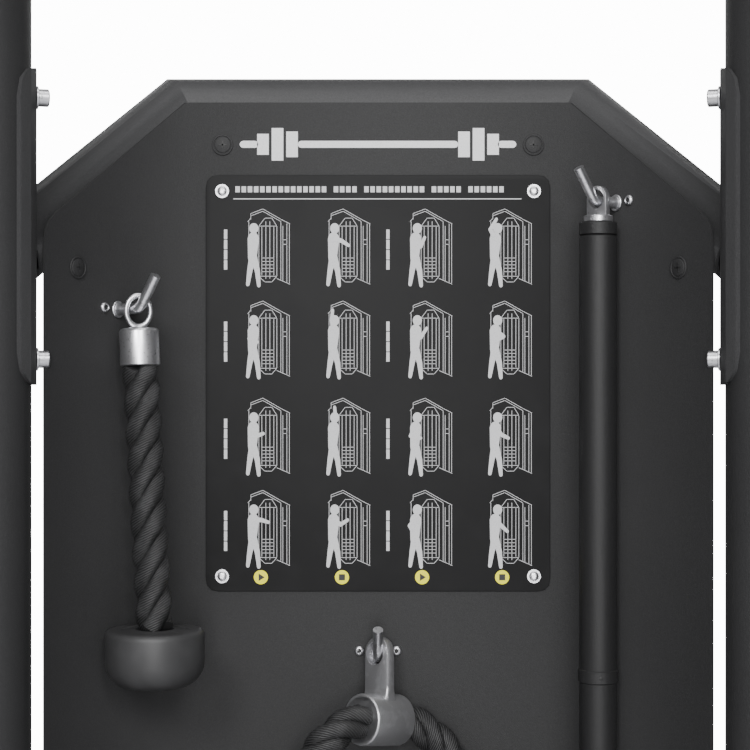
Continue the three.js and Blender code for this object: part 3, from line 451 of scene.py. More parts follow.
def block(name, low, high, place=None, soft=0.6 * MM):
    """A bevelled block between two corners."""
    low, high = Vector(low), Vector(high)
    bpy.ops.object.select_all(action="DESELECT")
    bpy.ops.mesh.primitive_cube_add(size=1, location=(low + high) / 2, scale=high - low)
    piece = bpy.context.object
    bpy.ops.object.transform_apply(location=True, scale=True)
    bevel(piece, soft, 2)
    smooth(piece)
    return settle(piece, name, place)


def joined(name, pieces):
    bpy.ops.object.select_all(action="DESELECT")
    for piece in pieces:
        piece.select_set(True)
    bpy.context.view_layer.objects.active = pieces[0]
    bpy.ops.object.join()
    made = bpy.context.object
    made.name = name
    return made


def repeated(name, model, places):
    """One piece made of copies of a model; the model itself is used up."""
    copies = []
    for place in places:
        copy = bpy.data.objects.new(name, model.data.copy())
        bpy.context.scene.collection.objects.link(copy)
        copy.data.transform(place)
        copies.append(copy)
    bpy.data.objects.remove(model)
    return joined(name, copies)


def mesh_piece(name, points, faces, uv=None):
    mesh = bpy.data.meshes.new(name)
    mesh.from_pydata([tuple(p) for p in points], [], faces)
    if uv:
        layer = mesh.uv_layers.new(name="UVMap")
        for loop in mesh.loops:
            layer.data[loop.index].uv = uv[loop.index]
    piece = bpy.data.objects.new(name, mesh)
    bpy.context.scene.collection.objects.link(piece)
    return piece


def skin(node, body, soft=0.0):
    """A CAD node's own shape with its facets merged and shaded as the curves they stand for."""
    source = frame["nodes"][node]
    piece = bpy.data.objects.new(node + "_skin", source.data.copy())
    bpy.context.scene.collection.objects.link(piece)
    edit(
        piece,
        lambda: bpy.ops.mesh.remove_doubles(threshold=0.02 * MM),
        lambda: bpy.ops.mesh.dissolve_limited(angle_limit=math.radians(0.6)),
    )
    if soft:
        bevel(piece, soft, 2, math.radians(50))
    smooth(piece)
    if node == "center_top_beam":
        crowned(piece)
    # The centre beams take the lighter copy of the frame coat, painted light.
    coat = LIT_BEAM_COAT if node.startswith("center") and node.endswith("beam") else None
    return dress(piece, SLOT[node], body, coat, [node])


def crowned(piece):
    """The top beam's tube is a little taller than round, fading out along its arms."""
    corner, foot, fall, extra = 0.176, 0.306, 0.154, 3.2 * MM
    axis = PANEL_TOP - 4.5 * MM
    for vertex in piece.data.vertices:
        share = min(max((abs(vertex.co.x) - corner) / (foot - corner), 0), 1)
        above = (vertex.co.z - axis + fall * share) / BEAM_RADIUS
        if above > 0.1:
            vertex.co.z += extra * min(above, 1) * (1 - share)


SLOT = {row["node"]: row["material_slot"] for row in frame["record"]["subparts"]}
BODY = {
    node: body
    for body, nodes in frame["record"]["behaviour"]["bodies"].items()
    for node in nodes
}


# ---- Camera, light and floor --------------------------------------------------------------
def camera():
    data = bpy.data.cameras.new("camera")
    data.lens = 81.6
    data.sensor_width = 36
    data.clip_end = 60
    eye = bpy.data.objects.new("camera", data)
    eye.location = (EYE_ACROSS, FACET_Y - EYE_AHEAD, EYE_HEIGHT)
    eye.rotation_euler = (math.pi / 2, 0, 0)
    bpy.context.scene.collection.objects.link(eye)
    bpy.context.scene.camera = eye


def soft_box(name, place, target, size, power):
    data = bpy.data.lights.new(name, "AREA")
    data.shape = "RECTANGLE"
    data.size, data.size_y = size
    data.energy = power
    lamp = bpy.data.objects.new(name, data)
    lamp.location = place
    way = Vector(target) - Vector(place)
    lamp.rotation_euler = way.to_track_quat("-Z", "Y").to_euler()
    bpy.context.scene.collection.objects.link(lamp)


def studio():
    """White backdrop for the lens, a dimmer wrap of light for the object, and soft boxes."""
    world = bpy.data.worlds.new("studio")
    bpy.context.scene.world = world
    world.use_nodes = True
    tree = world.node_tree
    sky = tree.nodes["Background"]
    sky.inputs["Color"].default_value = (1, 1, 1, 1)
    sky.inputs["Strength"].default_value = 0.22
    backdrop = tree.nodes.new("ShaderNodeBackground")
    backdrop.inputs["Color"].default_value = (1, 1, 1, 1)
    backdrop.inputs["Strength"].default_value = 14
    seen = tree.nodes.new("ShaderNodeLightPath")
    mix = tree.nodes.new("ShaderNodeMixShader")
    tree.links.new(seen.outputs["Is Camera Ray"], mix.inputs[0])
    tree.links.new(sky.outputs[0], mix.inputs[1])
    tree.links.new(backdrop.outputs[0], mix.inputs[2])
    tree.links.new(mix.outputs[0], tree.nodes["World Output"].inputs["Surface"])
    target = (0, FACET_Y, 1.4)
    soft_box("key_left", (-0.95, -3.2, 3.3), target, (0.9, 1.1), 92)
    soft_box("key_right", (0.95, -3.2, 3.3), target, (0.9, 1.1), 62)
    soft_box("front", (0.1, -3.8, 1.7), target, (1.0, 2.2), 88)
    soft_box("top", (0, -0.3, 3.9), (0, FACET_Y, 1.6), (2.0, 1.0), 24)
    soft_box("back", (0, 3.2, 3.0), target, (2.0, 1.4), 18)
    soft_box("left", (-2.6, -2.4, 2.3), (0.4, FACET_Y, 1.5), (0.6, 1.6), 9)
    soft_box("right", (2.6, -2.4, 2.3), (-0.4, FACET_Y, 1.5), (0.6, 1.6), 7)
    bpy.ops.object.select_all(action="DESELECT")
    bpy.ops.mesh.primitive_plane_add(size=9.6, location=(0, 0, -1 * MM))
    floor = bpy.context.object
    floor.name = "floor"
    floor.data.materials.append(floor_finish())


# ---- Ropes --------------------------------------------------------------------------------
def smooth_route(points, spacing):
    """Points at an even spacing on a smooth curve through the given ones."""
    fine = []
    ends = [points[0] * 2 - points[1]] + points + [points[-1] * 2 - points[-2]]
    for i in range(1, len(ends) - 2):
        p0, p1, p2, p3 = ends[i - 1 : i + 3]
        for k in range(24):
            t = k / 24
            a = p1 * 2
            b = (p2 - p0) * t
            c = (p0 * 2 - p1 * 5 + p2 * 4 - p3) * t**2
            d = (p1 * 3 - p0 - p2 * 3 + p3) * t**3
            fine.append((a + b + c + d) / 2)
    fine.append(points[-1])
    reach = [0.0]
    for p, q in zip(fine, fine[1:]):
        reach.append(reach[-1] + (q - p).length)
    count = round(reach[-1] / spacing)
    even = []
    j = 0
    for i in range(count + 1):
        want = reach[-1] * i / count
        while j < len(fine) - 2 and reach[j + 1] < want:
            j += 1
        share = (want - reach[j]) / (reach[j + 1] - reach[j])
        even.append(fine[j].lerp(fine[j + 1], min(max(share, 0), 1)))
    return even, reach[-1]


def carried_frames(route):
    """A side direction at each point of a route, carried along without twisting."""
    ways = [(q - p).normalized() for p, q in zip(route, route[1:])]
    ways.append(ways[-1])
    side = ways[0].orthogonal().normalized()
    frames = []
    for way in ways:
        side = (side - way * side.dot(way)).normalized()
        frames.append((way, side, way.cross(side)))
    return frames


def laid_rope(name, points, strand_sides=14):
    """Three round strands laid round each other along a route."""
    lay = 72 * MM
    strand = 7.35 * MM
    offset = ROPE_RADIUS - strand
    route, length = smooth_route(points, 2.6 * MM)
    frames = carried_frames(route)
    step = length / (len(route) - 1)
    vertices, faces, uv = [], [], []
    for k in range(3):
        first = len(vertices)
        for i, (p, (way, x, y)) in enumerate(zip(route, frames)):
            turn = 2 * math.pi * (i * step / lay + k / 3)
            radial = x * math.cos(turn) + y * math.sin(turn)
            sideways = way.cross(radial)
            slope = 2 * math.pi * offset / lay
            forward = (way + sideways * slope).normalized()
            third = forward.cross(radial)
            middle_point = p + radial * offset
            for j in range(strand_sides):
                a = 2 * math.pi * j / strand_sides
                vertices.append(
                    middle_point + (radial * math.cos(a) + third * math.sin(a)) * strand
                )
        for i in range(len(route) - 1):
            for j in range(strand_sides):
                n = (j + 1) % strand_sides
                a = first + i * strand_sides
                b = a + strand_sides
                faces.append((a + j, a + n, b + n, b + j))
                u0, u1 = j / strand_sides, (j + 1) / strand_sides
                v0, v1 = i * step, (i + 1) * step
                uv += [(u0, v0), (u1, v0), (u1, v1), (u0, v1)]
        for ring, order in ((0, -1), (len(route) - 1, 1)):
            cap = [first + ring * strand_sides + j for j in range(strand_sides)]
            faces.append(tuple(cap[::order]))
            uv += [(0, 0)] * strand_sides
    piece = mesh_piece(name, vertices, faces, uv)
    smooth(piece, math.radians(60))
    return piece, route, length


def route_points(values):
    return [Vector((x * MM, FACET_Y + y * MM, z * MM)) for x, y, z in values]


LUG = (
    Matrix.Translation((1.2 * MM, FACET_Y - 22 * MM, 1.2636))
    @ Matrix.Rotation(math.radians(-11.5), 4, "X")
    @ Matrix.Rotation(math.radians(45), 4, "Z")
)
SLEEVE_HALF = 22 * MM
SLEEVE_DROP = 54.7 * MM
IN_SLEEVE = [LUG @ Vector((x, 0, -SLEEVE_DROP)) for x in (-SLEEVE_HALF, 0, SLEEVE_HALF)]
DOUBLE_ROUTE = (
    route_points([
        (-76, -47, 938), (-77, -48, 1010), (-76, -52, 1080), (-72, -59, 1133),
        (-60, -66, 1174), (-38, -62, 1202),
    ])
    + IN_SLEEVE
    + route_points([
        (37, -16.5, 1200), (61, -17, 1175), (76, -21, 1131), (81, -29, 1080),
        (82, -38, 1010), (81, -43, 938),
    ])
)
HOOK_LEFT = wing_frame(-1, 87.3 * MM, 1.5536)
HOOK_RIGHT = wing_frame(1, 60.1 * MM, 1.643)
HOOK_CENTER = facet_frame(0, 1.2604)
SINGLE_TOP = HOOK_LEFT @ Vector((1 * MM, -46.1 * MM, 24.1 * MM))
SINGLE_END = HOOK_LEFT @ Vector((0, -258.1 * MM, 40.6 * MM))
BUMPER = [
    (4, -46), (20, -46), (26.2, -45), (31.8, -42), (36, -37.7), (39, -32), (40, -26), (40, -5),
    (39.5, -2.4), (38, -0.7), (36, 0), (27, 0), (26, -0.8), (20, -0.8), (17.6, 0.4), (15.6, 0.4),
    (15.2, -2), (4, -2),
]


def millimetres(profile):
    return [(wide * MM, high * MM) for wide, high in profile]


def bumper(name, top, replaces, body):
    piece = turned(name, millimetres(BUMPER), axes(top, (1, 0, 0), UP), 72)
    return dress(piece, "rubber", body, replaces=[replaces])


def single_rope_handle():
    body = "single_rope_handle"
    way = (SINGLE_END - SINGLE_TOP).normalized()
    start = SINGLE_TOP + way * 0.9 * MM
    end = SINGLE_END - way * 1.8 * MM
    count = 8
    points = [start.lerp(end, i / count) for i in range(count + 1)]
    rope, route, length = laid_rope("single_rope_strands", points)
    dress(rope, "rope", body, replaces=["single_rope"])
    cup = bumper("single_rope_bumper", SINGLE_END, "single_bumper", body)


def double_rope():
    body = "double_rope"
    rope, route, length = laid_rope("double_rope_strands", DOUBLE_ROUTE)
    dress(rope, "rope", body, replaces=["center_rope"])
    cups = [
        bumper(name, point - UP * 1.8 * MM, node, body)
        for name, point, node in (
            ("double_rope_bumper_left", DOUBLE_ROUTE[0], "center_bumper_left"),
            ("double_rope_bumper_right", DOUBLE_ROUTE[-1], "center_bumper_right"),
        )
    ]


# ---- Steel fittings -----------------------------------------------------------------------
def bent_bar(name, points, radius, rounding, sides=24):
    """A round bar through points with rounded bends and hemispherical ends."""
    curve = bpy.data.curves.new(name, "CURVE")
    curve.dimensions = "3D"
    spline = curve.splines.new("POLY")
    line = [points[0]]
    for before, here, after in zip(points, points[1:], points[2:]):
        for k in range(9):
            t = k / 8
            a = here + (before - here).normalized() * rounding
            b = here + (after - here).normalized() * rounding
            line.append(a.lerp(here, t).lerp(here.lerp(b, t), t))
    line.append(points[-1])
    spline.points.add(len(line) - 1)
    for point, place in zip(spline.points, line):
        point.co = (*place, 1)
    curve.bevel_depth = radius
    curve.bevel_resolution = sides // 4
    curve.use_fill_caps = True
    piece = bpy.data.objects.new(name, curve)
    bpy.context.scene.collection.objects.link(piece)
    only(piece)
    bpy.ops.object.convert(target="MESH")
    piece = bpy.context.object
    bevel(piece, radius * 0.55, 4, math.radians(60))
    smooth(piece)
    return piece


DOME_SCREW = [
    (2.6, 0.3), (4.3, 0.5), (4.3, 1.3), (4.0, 2.1), (3.2, 2.9), (2.4, 3.1), (2.2, 2.9), (2.1, 1.9),
    (0.4, 1.9),
]
# The near-black disc set in a dome screw's recess: painted shade in the socket.
SOCKET_SHADE = [(2.1, 2.15), (2.1, 2.35), (0.3, 2.35)]
FLANGE = [
    (6.7, 0.3), (6.9, 0.6), (6.9, 1.5), (6.5, 1.9), (5.3, 2.1), (4.9, 2.9), (4.75, 4), (4.75, 13),
    (4.4, 14.4),
]


def hook(name, place, node, screws):
    """A hook: a round bar out of its flange and up at an angle, with a screw on each side."""
    climb = Vector((0, math.sin(HOOK_RISE), math.cos(HOOK_RISE))) * HOOK_TIP
    bend = Vector((0, 0, HOOK_OUT))
    points = [place @ Vector((0, 0, 2 * MM)), place @ bend, place @ (bend + climb)]
    rod = bent_bar(name + "_rod", points, HOOK_RADIUS, 7 * MM)
    base = turned(name + "_base", millimetres(FLANGE), place, 48)
    piece = joined(name, [rod, base])
    dress(piece, "satin_steel", replaces=[node])
    screw = turned(name + "_screws", millimetres(DOME_SCREW), None, 32)
    spots = [place @ Matrix.Translation((s * 16 * MM, screws, 0)) for s in (-1, 1)]
    dress(repeated(name + "_screws", screw, spots), "satin_steel", material=ZINC)
    # A near-black disc in each screw's recess: painted shade in the socket.
    socket = turned(name + "_sockets", millimetres(SOCKET_SHADE), None, 6)
    dress(repeated(name + "_sockets", socket, spots), "satin_steel", material=RECESS_SHADE_AND_PIN_BLACK)


def oval_ring(name, place, wide, tall, wire):
    bpy.ops.object.select_all(action="DESELECT")
    bpy.ops.mesh.primitive_torus_add(
        major_radius=wide, minor_radius=wire, major_segments=64, minor_segments=20
    )
    piece = bpy.context.object
    ratio = tall / wide
    edit(piece, lambda: bpy.ops.transform.resize(value=(1, ratio, 1)))
    smooth(piece, math.pi)
    return settle(piece, name, place)


def ferrule():
    """Wire eye and turned ferrule over the top of the single rope."""
    eye = HOOK_LEFT @ Matrix.Translation((1 * MM, -1.8 * MM, 22.1 * MM))
    turned_eye = eye @ Matrix.Rotation(math.radians(-35), 4, "Y")
    ring = oval_ring("rope_eye", turned_eye, 10 * MM, 12.5 * MM, 2 * MM)
    top = HOOK_LEFT @ Vector((1 * MM, -15.6 * MM, 22.6 * MM))
    way = top - SINGLE_TOP
    profile = [
        (15.3, 0.3), (16, 0.9), (16, 27.6), (15.6, 28.8), (14.6, 29.9), (13, 30.5), (7, 30.5),
        (6.4, 31.6), (5.2, 31.8), (1, 31.8),
    ]
    place = axes(SINGLE_TOP, HOOK_LEFT.to_3x3() @ Vector((1, 0, 0)), way)
    shell = turned("ferrule_shell", millimetres(profile), place, 72)
    piece = joined("rope_ferrule", [ring, shell])
    dress(piece, "satin_steel", "single_rope_handle", replaces=["rope_fitting"])


def rounded_plate(name, points, thick, place, soft):
    """A flat plate with the given outline, laid in a frame's xy plane about its middle."""
    vertices = [Vector((x * MM, y * MM, -thick / 2)) for x, y in points]
    piece = mesh_piece(name, vertices, [tuple(range(len(vertices)))])
    edit(
        piece,
        lambda: bpy.ops.mesh.extrude_region_move(TRANSFORM_OT_translate={"value": (0, 0, thick)}),
        lambda: bpy.ops.mesh.select_all(action="SELECT"),
        lambda: bpy.ops.mesh.normals_make_consistent(inside=False),
    )
    bevel(piece, soft, 2)
    smooth(piece)
    piece.data.transform(place)
    return piece


def drilled(piece, place, radius, half):
    """Bores a round hole along a frame's z axis."""
    bpy.ops.object.select_all(action="DESELECT")
    bpy.ops.mesh.primitive_cylinder_add(vertices=48, radius=radius, depth=2 * half)
    tool = bpy.context.object
    tool.data.transform(place)
    only(piece)
    made = piece.modifiers.new("bore", "BOOLEAN")
    made.operation = "DIFFERENCE"
    made.object = tool
    made.solver = "EXACT"
    bpy.ops.object.modifier_apply(modifier=made.name)
    bpy.data.objects.remove(tool)
    return piece


def arch(half, low, high, steps=20):
    """The outline of a plate with a round top."""
    points = [(-half, low), (half, low)]
    for i in range(steps + 1):
        a = math.pi * i / steps
        points.append((half * math.cos(a), high - half + half * math.sin(a)))
    return points


def bar_eye():
    core = HOOK_RIGHT @ Matrix.Translation((0, 0, 20.3 * MM))
    flat = core @ Matrix.Rotation(math.radians(13), 4, "Y")
    plate = rounded_plate("bar_lug", arch(10, -14, 13), 6 * MM, flat, 1.1 * MM)
    drilled(plate, flat @ Matrix.Translation((0, 2 * MM, 0)), 7.6 * MM, 9 * MM)
    stem = axes(core @ Vector((0, 0, 0)), HOOK_RIGHT.to_3x3() @ Vector((1, 0, 0)), UP)
    rings = [(6, -11.5), (11.4, -11.6), (12, -12.2), (12, -16.4), (11.4, -17), (6, -17.2)]
    ring = turned("bar_ring", millimetres(rings[::-1]), stem, 64)
    piece = joined("bar_eye_plate", [plate, ring])
    dress(piece, "satin_steel", "straight_bar", replaces=["bar_eye"])
    sleeve = [
        (2, -27.7), (14.8, -27.7), (15.6, -27.1), (15.6, -18.1), (15, -17.4), (12.4, -17.2),
        (2, -17.2),
    ]
    collar = turned("bar_collar", millimetres(sleeve), stem, 72)
    dress(collar, "bar_coat", "straight_bar")
    pin = [(1.7, -0.3), (1.7, 0.35), (1.3, 0.5), (0.7, 0.5), (0.6, -0.1), (0.2, -0.1)]
    screw = turned("bar_set_screw", millimetres(pin), None, 20)
    facing = Matrix.Rotation(math.radians(-28), 4, "Z") @ Matrix.Rotation(math.pi / 2, 4, "X")
    spot = Matrix.Translation((core @ Vector((0, -22.4 * MM, 0)))) @ facing
    screw.data.transform(spot @ Matrix.Translation((0, 0, 15.4 * MM)))
    dress(screw, "bar_coat", "straight_bar", material=RECESS_SHADE_AND_PIN_BLACK)


def straight_bar():
    low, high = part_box("bar")
    place = Matrix.Translation((middle("bar").x, middle("bar").y, high.z))
    half = -(high.z - low.z) / 2 / MM
    full = half * 2
    profile = [
        (2, 0), (14.2, 0), (14.9, -0.4), (15.5, -1.2), (15.5, half + 5.6), (15.9, half + 5.3),
        (16.6, half + 4.6), (16.6, half - 4.6), (15.9, half - 5.3), (15.5, half - 5.6),
        (15.5, full + 13), (16.1, full + 12.4), (16.7, full + 11.6), (16.7, full + 2.4),
        (15.8, full + 0.8), (14, full), (2, full),
    ]
    piece = turned("bar_tube", millimetres(profile), place, 72)
    dress(piece, "bar_coat", "straight_bar", replaces=["bar"])
    head = [(1.5, 0), (1.5, 0.5), (1.1, 0.7), (0.2, 0.7)]
    pin = turned("bar_collar_pins", millimetres(head), None, 16)
    spots = [
        place @ Matrix.Translation((0, 0, half * MM)) @ Matrix.Rotation(a, 4, "Z")
        @ Matrix.Rotation(math.pi / 2, 4, "X") @ Matrix.Translation((0, 0, 16.4 * MM))
        for a in (0.0, math.pi)
    ]
    dress(repeated("bar_collar_pins", pin, spots), "bar_coat", "straight_bar", RECESS_SHADE_AND_PIN_BLACK)


SLEEVE_ROUND = 21.5  # the sleeve's outside, in millimetres
QUARTERS = ((1, 1), (-1, 1), (-1, -1), (1, -1))


def flared_weld(name, half_x, half_y, place):
    """Weld round a lug's foot: a skirt that spreads as it goes down on to the sleeve."""
    rise, spread, corner, steps = 9.0, 6.5, 5, 12
    top = -27.5
    vertices, faces = [], []
    for k in range(steps + 1):
        a = math.pi / 2 * k / steps
        grow = 0.1 + spread * (1 - math.cos(a))
        level = top - rise * math.sin(a)
        for quarter in range(4):
            sx, sy = QUARTERS[quarter]
            for j in range(corner + 1):
                b = math.pi / 2 * (quarter + j / corner)
                x = sx * (half_x - 1.6) + (grow + 1.6) * math.cos(b)
                y = sy * (half_y - 1.6) + (grow * 0.35 + 1.6) * math.sin(b)
                fall = SLEEVE_ROUND - math.sqrt(SLEEVE_ROUND**2 - min(abs(y), 20) ** 2)
                drop = level - fall * k / steps
                vertices.append(Vector((x * MM, y * MM, drop * MM)))
    ring = 4 * (corner + 1)
    for k in range(steps):
        for j in range(ring):
            n = (j + 1) % ring
            a, b = k * ring, (k + 1) * ring
            faces.append((a + n, a + j, b + j, b + n))
    faces.append(tuple(range(ring)))
    faces.append(tuple(range(steps * ring, (steps + 1) * ring))[::-1])
    piece = mesh_piece(name, vertices, faces)
    smooth(piece, math.radians(50))
    piece.data.transform(place)
    return piece


def center_sleeve():
    """The turned sleeve that holds the double rope's middle, and its welded lug."""
    flat = LUG @ Matrix.Rotation(math.pi / 2, 4, "Z") @ Matrix.Rotation(math.pi / 2, 4, "X")
    plate = rounded_plate("sleeve_lug", arch(14, -37.5, 14.5), 9 * MM, flat, 2 * MM)
    drilled(plate, flat @ Matrix.Translation((1.5 * MM, 0.4 * MM, 0)), 10 * MM, 9 * MM)
    core = LUG @ Matrix.Translation((0, 0, -SLEEVE_DROP)) @ Matrix.Rotation(math.pi / 2, 4, "Y")
    half = 22
    rings = [
        (19.1, -half), (20.4, -half), (21.2, 0.7 - half), (21.5, 1.6 - half), (21.5, half - 1.6),
        (21.2, half - 0.7), (20.4, half), (19.1, half), (19.0, half - 0.8), (19.0, 0.8 - half),
        (19.1, -half),
    ]
    shell = turned("sleeve_tube", millimetres(rings), core, 72)
    flare = flared_weld("sleeve_weld", 4.3, 13.8, LUG)
    piece = joined("double_rope_sleeve", [shell, plate, flare])
    dress(
        piece, "satin_steel", "double_rope", material=BLASTED_STEEL, replaces=["center_sleeve"]
    )


# ---- Bolts, screws and caps ---------------------------------------------------------------
CAP_SCREW = [
    (9, 0), (9, 1.2), (8.6, 1.6), (6.9, 1.6), (6.9, 9.2), (6.4, 9.9), (5.6, 10.2), (3.7, 10.2),
    (3.4, 9.8), (3.4, 6.2), (0.4, 6.0),
]
SCREW_CAP = [
    (8.2, 0.05), (9.1, 0.3), (9.1, 0.9), (8.7, 1.3), (7.9, 1.4), (7.5, 0.8), (7.1, 0.8),
    (6.8, 1.3), (6.4, 1.5), (0.4, 1.6),
]
BUTTON = [
    (6.2, 1.8), (6.2, 2.3), (5.8, 2.7), (4.9, 2.7), (4.6, 2.4), (4.2, 2.4), (4.0, 3.1), (3.2, 3.8),
    (1.9, 4.1), (1.7, 3.2), (0.3, 3.2),
]


def saddle_bolts():
    beam_high = 1.73
    beam_low = 0.315
    drop = 0.116
    reach = 101.75 * MM
    seat = SADDLE_RADIUS - 0.4 * MM
    places = []
    for side in SIDES.values():
        post = middle("inner_post_" + ("right" if side > 0 else "left"))
        toward = -along(side)
        for level in (beam_high - drop, beam_low + drop):
            for up in (-1, 1):
                for swing in (-1, 1):
                    way = Matrix.Rotation(math.radians(37 * swing), 3, "Z") @ toward
                    axis = Vector((post.x, post.y, level + up * reach))
                    places.append(axes(axis + way * seat, UP, way))
    bolt = turned("saddle_bolts", millimetres(CAP_SCREW), None, 40)
    dress(repeated("saddle_bolts", bolt, places), "satin_steel", material=ZINC)


def link_bolts():
    seat = SADDLE_RADIUS - 0.4 * MM
    places = []
    for name, side in SIDES.items():
        post = middle("outer_post_" + name)
        rear = Vector((side * REAR_POST_X, FACET_Y - REAR_POST_AHEAD, 0))
        toward = Vector((rear.x - post.x, rear.y - post.y, 0)).normalized()
        for level in (1.77, 0.33):
            for up in (-1, 1):
                for swing in (-1, 1):
                    way = Matrix.Rotation(math.radians(50 * swing), 3, "Z") @ toward
                    axis = Vector((post.x, post.y, level + up * 55 * MM))
                    places.append(axes(axis + way * seat, UP, way))
    bolt = turned("link_bolts", millimetres(CAP_SCREW), None, 32)
    dress(repeated("link_bolts", bolt, places), "satin_steel", material=ZINC)


# A flat cross block, dressed near-black as painted shade in a cross recess.
def recess_shade_cross(name, arm, width, depth):
    first = block(name, (-arm, -width, 0), (arm, width, depth), soft=0.1 * MM)
    second = block(name + "_b", (-width, -arm, 0), (width, arm, depth), soft=0.1 * MM)
    return joined(name, [first, second])


FACET_CAP = (133.7 * MM, 36.5 * MM)  # from the middle of the facet, and in from the panel's end
WING_CAP = (133.5 * MM, 149 * MM)  # from the fold, and in from the panel's end


def panel_screws():
    """Two screw caps on the facet and one on each wing, at the panel's top and at its bottom."""
    places = []
    across, drop = FACET_CAP
    for high in (PANEL_TOP - drop, PANEL_LOW + drop):
        places += [facet_frame(s * across, high) for s in (-1, 1)]
    across, drop = WING_CAP
    for side in SIDES.values():
        places += [wing_frame(side, across, high) for high in (PANEL_TOP - drop, PANEL_LOW + drop)]
    cap = turned("panel_screw_caps", millimetres(SCREW_CAP), None, 48)
    dress(repeated("panel_screw_caps", cap, places), "panel_coat")
    # A near-black cross on each cap: painted shade in its cross recess.
    cross = recess_shade_cross("panel_screw_recesses", 3.6 * MM, 0.75 * MM, 0.15 * MM)
    cross.data.transform(Matrix.Translation((0, 0, 1.56 * MM)))
    dress(repeated("panel_screw_recesses", cross, places), "black_plastic", material=RECESS_SHADE_AND_PIN_BLACK)


# ---- Placard ------------------------------------------------------------------------------
def strokes(name, lines, width, place, layer):
    """Flat printed strokes: each line is a list of points joined by thin bars."""
    vertices, faces = [], []
    for line in lines:
        for (x0, y0), (x1, y1) in zip(line, line[1:]):
            a, b = Vector((x0, y0)), Vector((x1, y1))
            way = (b - a).normalized()
            off = Vector((-way.y, way.x)) * width / 2
            a, b = a - way * width * 0.3, b + way * width * 0.3
            first = len(vertices)
            for p in (a - off, b - off, b + off, a + off):
                vertices.append(Vector((p.x * MM, p.y * MM, 0)))
            faces.append((first, first + 1, first + 2, first + 3))
    return flat_print(name, vertices, faces, place, layer)


def fills(name, outlines, place, layer, spread=1):
    """Filled printed shapes; those that overlap lie in turn on thin layers of ink."""
    vertices, faces = [], []
    for i, outline in enumerate(outlines):
        first = len(vertices)
        raised = (i % spread) * 0.02 * MM
        vertices += [Vector((x * MM, y * MM, raised)) for x, y in outline]
        faces.append(tuple(range(first, len(vertices))))
    return flat_print(name, vertices, faces, place, layer)


def flat_print(name, vertices, faces, place, layer):
    piece = mesh_piece(name, vertices, faces)
    only(piece)
    made = piece.modifiers.new("film", "SOLIDIFY")
    made.thickness = 0.12 * MM
    made.offset = 1
    bpy.ops.object.modifier_apply(modifier=made.name)
    piece.data.transform(place @ Matrix.Translation((0, 0, (1.8 + layer) * MM)))
    return piece


def disc(x, y, radius, steps=20):
    turns = [2 * math.pi * i / steps for i in range(steps)]
    return [(x + radius * math.cos(a), y + radius * math.sin(a)) for a in turns]


def capsule(start, end, first, last, steps=6):
    """A limb: a rounded bar that tapers from one radius to the other."""
    (x0, y0), (x1, y1) = start, end
    heading = math.atan2(y1 - y0, x1 - x0)
    points = []
    for i in range(steps + 1):
        a = heading + math.pi / 2 + math.pi * i / steps
        points.append((x0 + first * math.cos(a), y0 + first * math.sin(a)))
    for i in range(steps + 1):
        a = heading - math.pi / 2 + math.pi * i / steps
        points.append((x1 + last * math.cos(a), y1 + last * math.sin(a)))
    return points


# One arm to a picture: its elbow and hand, measured from the shoulder.
ARM_POSES = [
    ((-3, -8), (-2, -15)), ((8, -2), (15, -6)), ((5, -7), (9, 1)), ((-5, 8), (1, 17)),
    ((-4, -7), (4, -10)), ((-2, 9), (-1, 18)), ((5, -6), (11, 2)), ((8, -5), (1, -9)),
    ((4, -7), (10, -5)), ((2, 9), (1, 18)), ((-5, -7), (5, -9)), ((6, -6), (13, -9)),
    ((8, 0), (15, -2)), ((7, -4), (14, 0)), ((-6, -5), (-2, -12)), ((7, -6), (12, -10)),
]


def person(lean, elbow, hand):
    """A plain standing figure: head, trunk, two legs and one arm."""
    shoulder, hip = (-9.5, 9), (-10.5, -8)
    elbow = (shoulder[0] + elbow[0], shoulder[1] + elbow[1])
    hand = (shoulder[0] + hand[0], shoulder[1] + hand[1])
    return [
        disc(-9 + lean, 18, 4.6),
        capsule(shoulder, hip, 5.6, 4.3),
        capsule(hip, (-13, -19), 3.5, 2.6),
        capsule((-13, -19), (-15, -31), 2.6, 1.8),
        capsule((-9, -8), (-5.5, -19), 3.5, 2.6),
        capsule((-5.5, -19), (-4, -32), 2.6, 1.8),
        capsule(shoulder, elbow, 2.4, 1.9),
        capsule(elbow, hand, 1.9, 1.5),
    ]


def machine_drawing():
    """A plain line drawing of a cable machine, about 34 by 68 millimetres."""
    tower = [(-4, -24), (-4, 20), (2, 27), (9, 27), (14, 20), (14, -24), (9, -29), (2, -29)]
    return [
        tower + tower[:1],
        [(-1, -23), (-1, 20)], [(11, -23), (11, 20)], [(3, -26), (3, 24)], [(7, -26), (7, 24)],
        [(-4, 20), (14, 20)], [(-4, -24), (14, -24)],
        *[[(-1, level), (11, level)] for level in (-8, -11, -14, -17, -20)],
        [(-12, 31), (0, 35), (18, 26)], [(-12, 29), (0, 33), (18, 24)], [(-12, 31), (-12, 26)],
        [(24, 22), (24, -30)], [(26.5, 22), (26.5, -30)], [(18, 26), (27, 22)],
        [(20, 20), (20, -28)], [(18, 24), (18, -27)], [(14, -26), (27, -31)],
        [(-12, 27), (-15, 24)], [(-14, 24), (-14, -30)], [(20, 8), (24, 8)], [(20, 4), (24, 4)],
    ]


COLUMNS = (-99, -30, 40.5, 109)
ROWS = (1608.4, 1529.3, 1445.8, 1366.6)


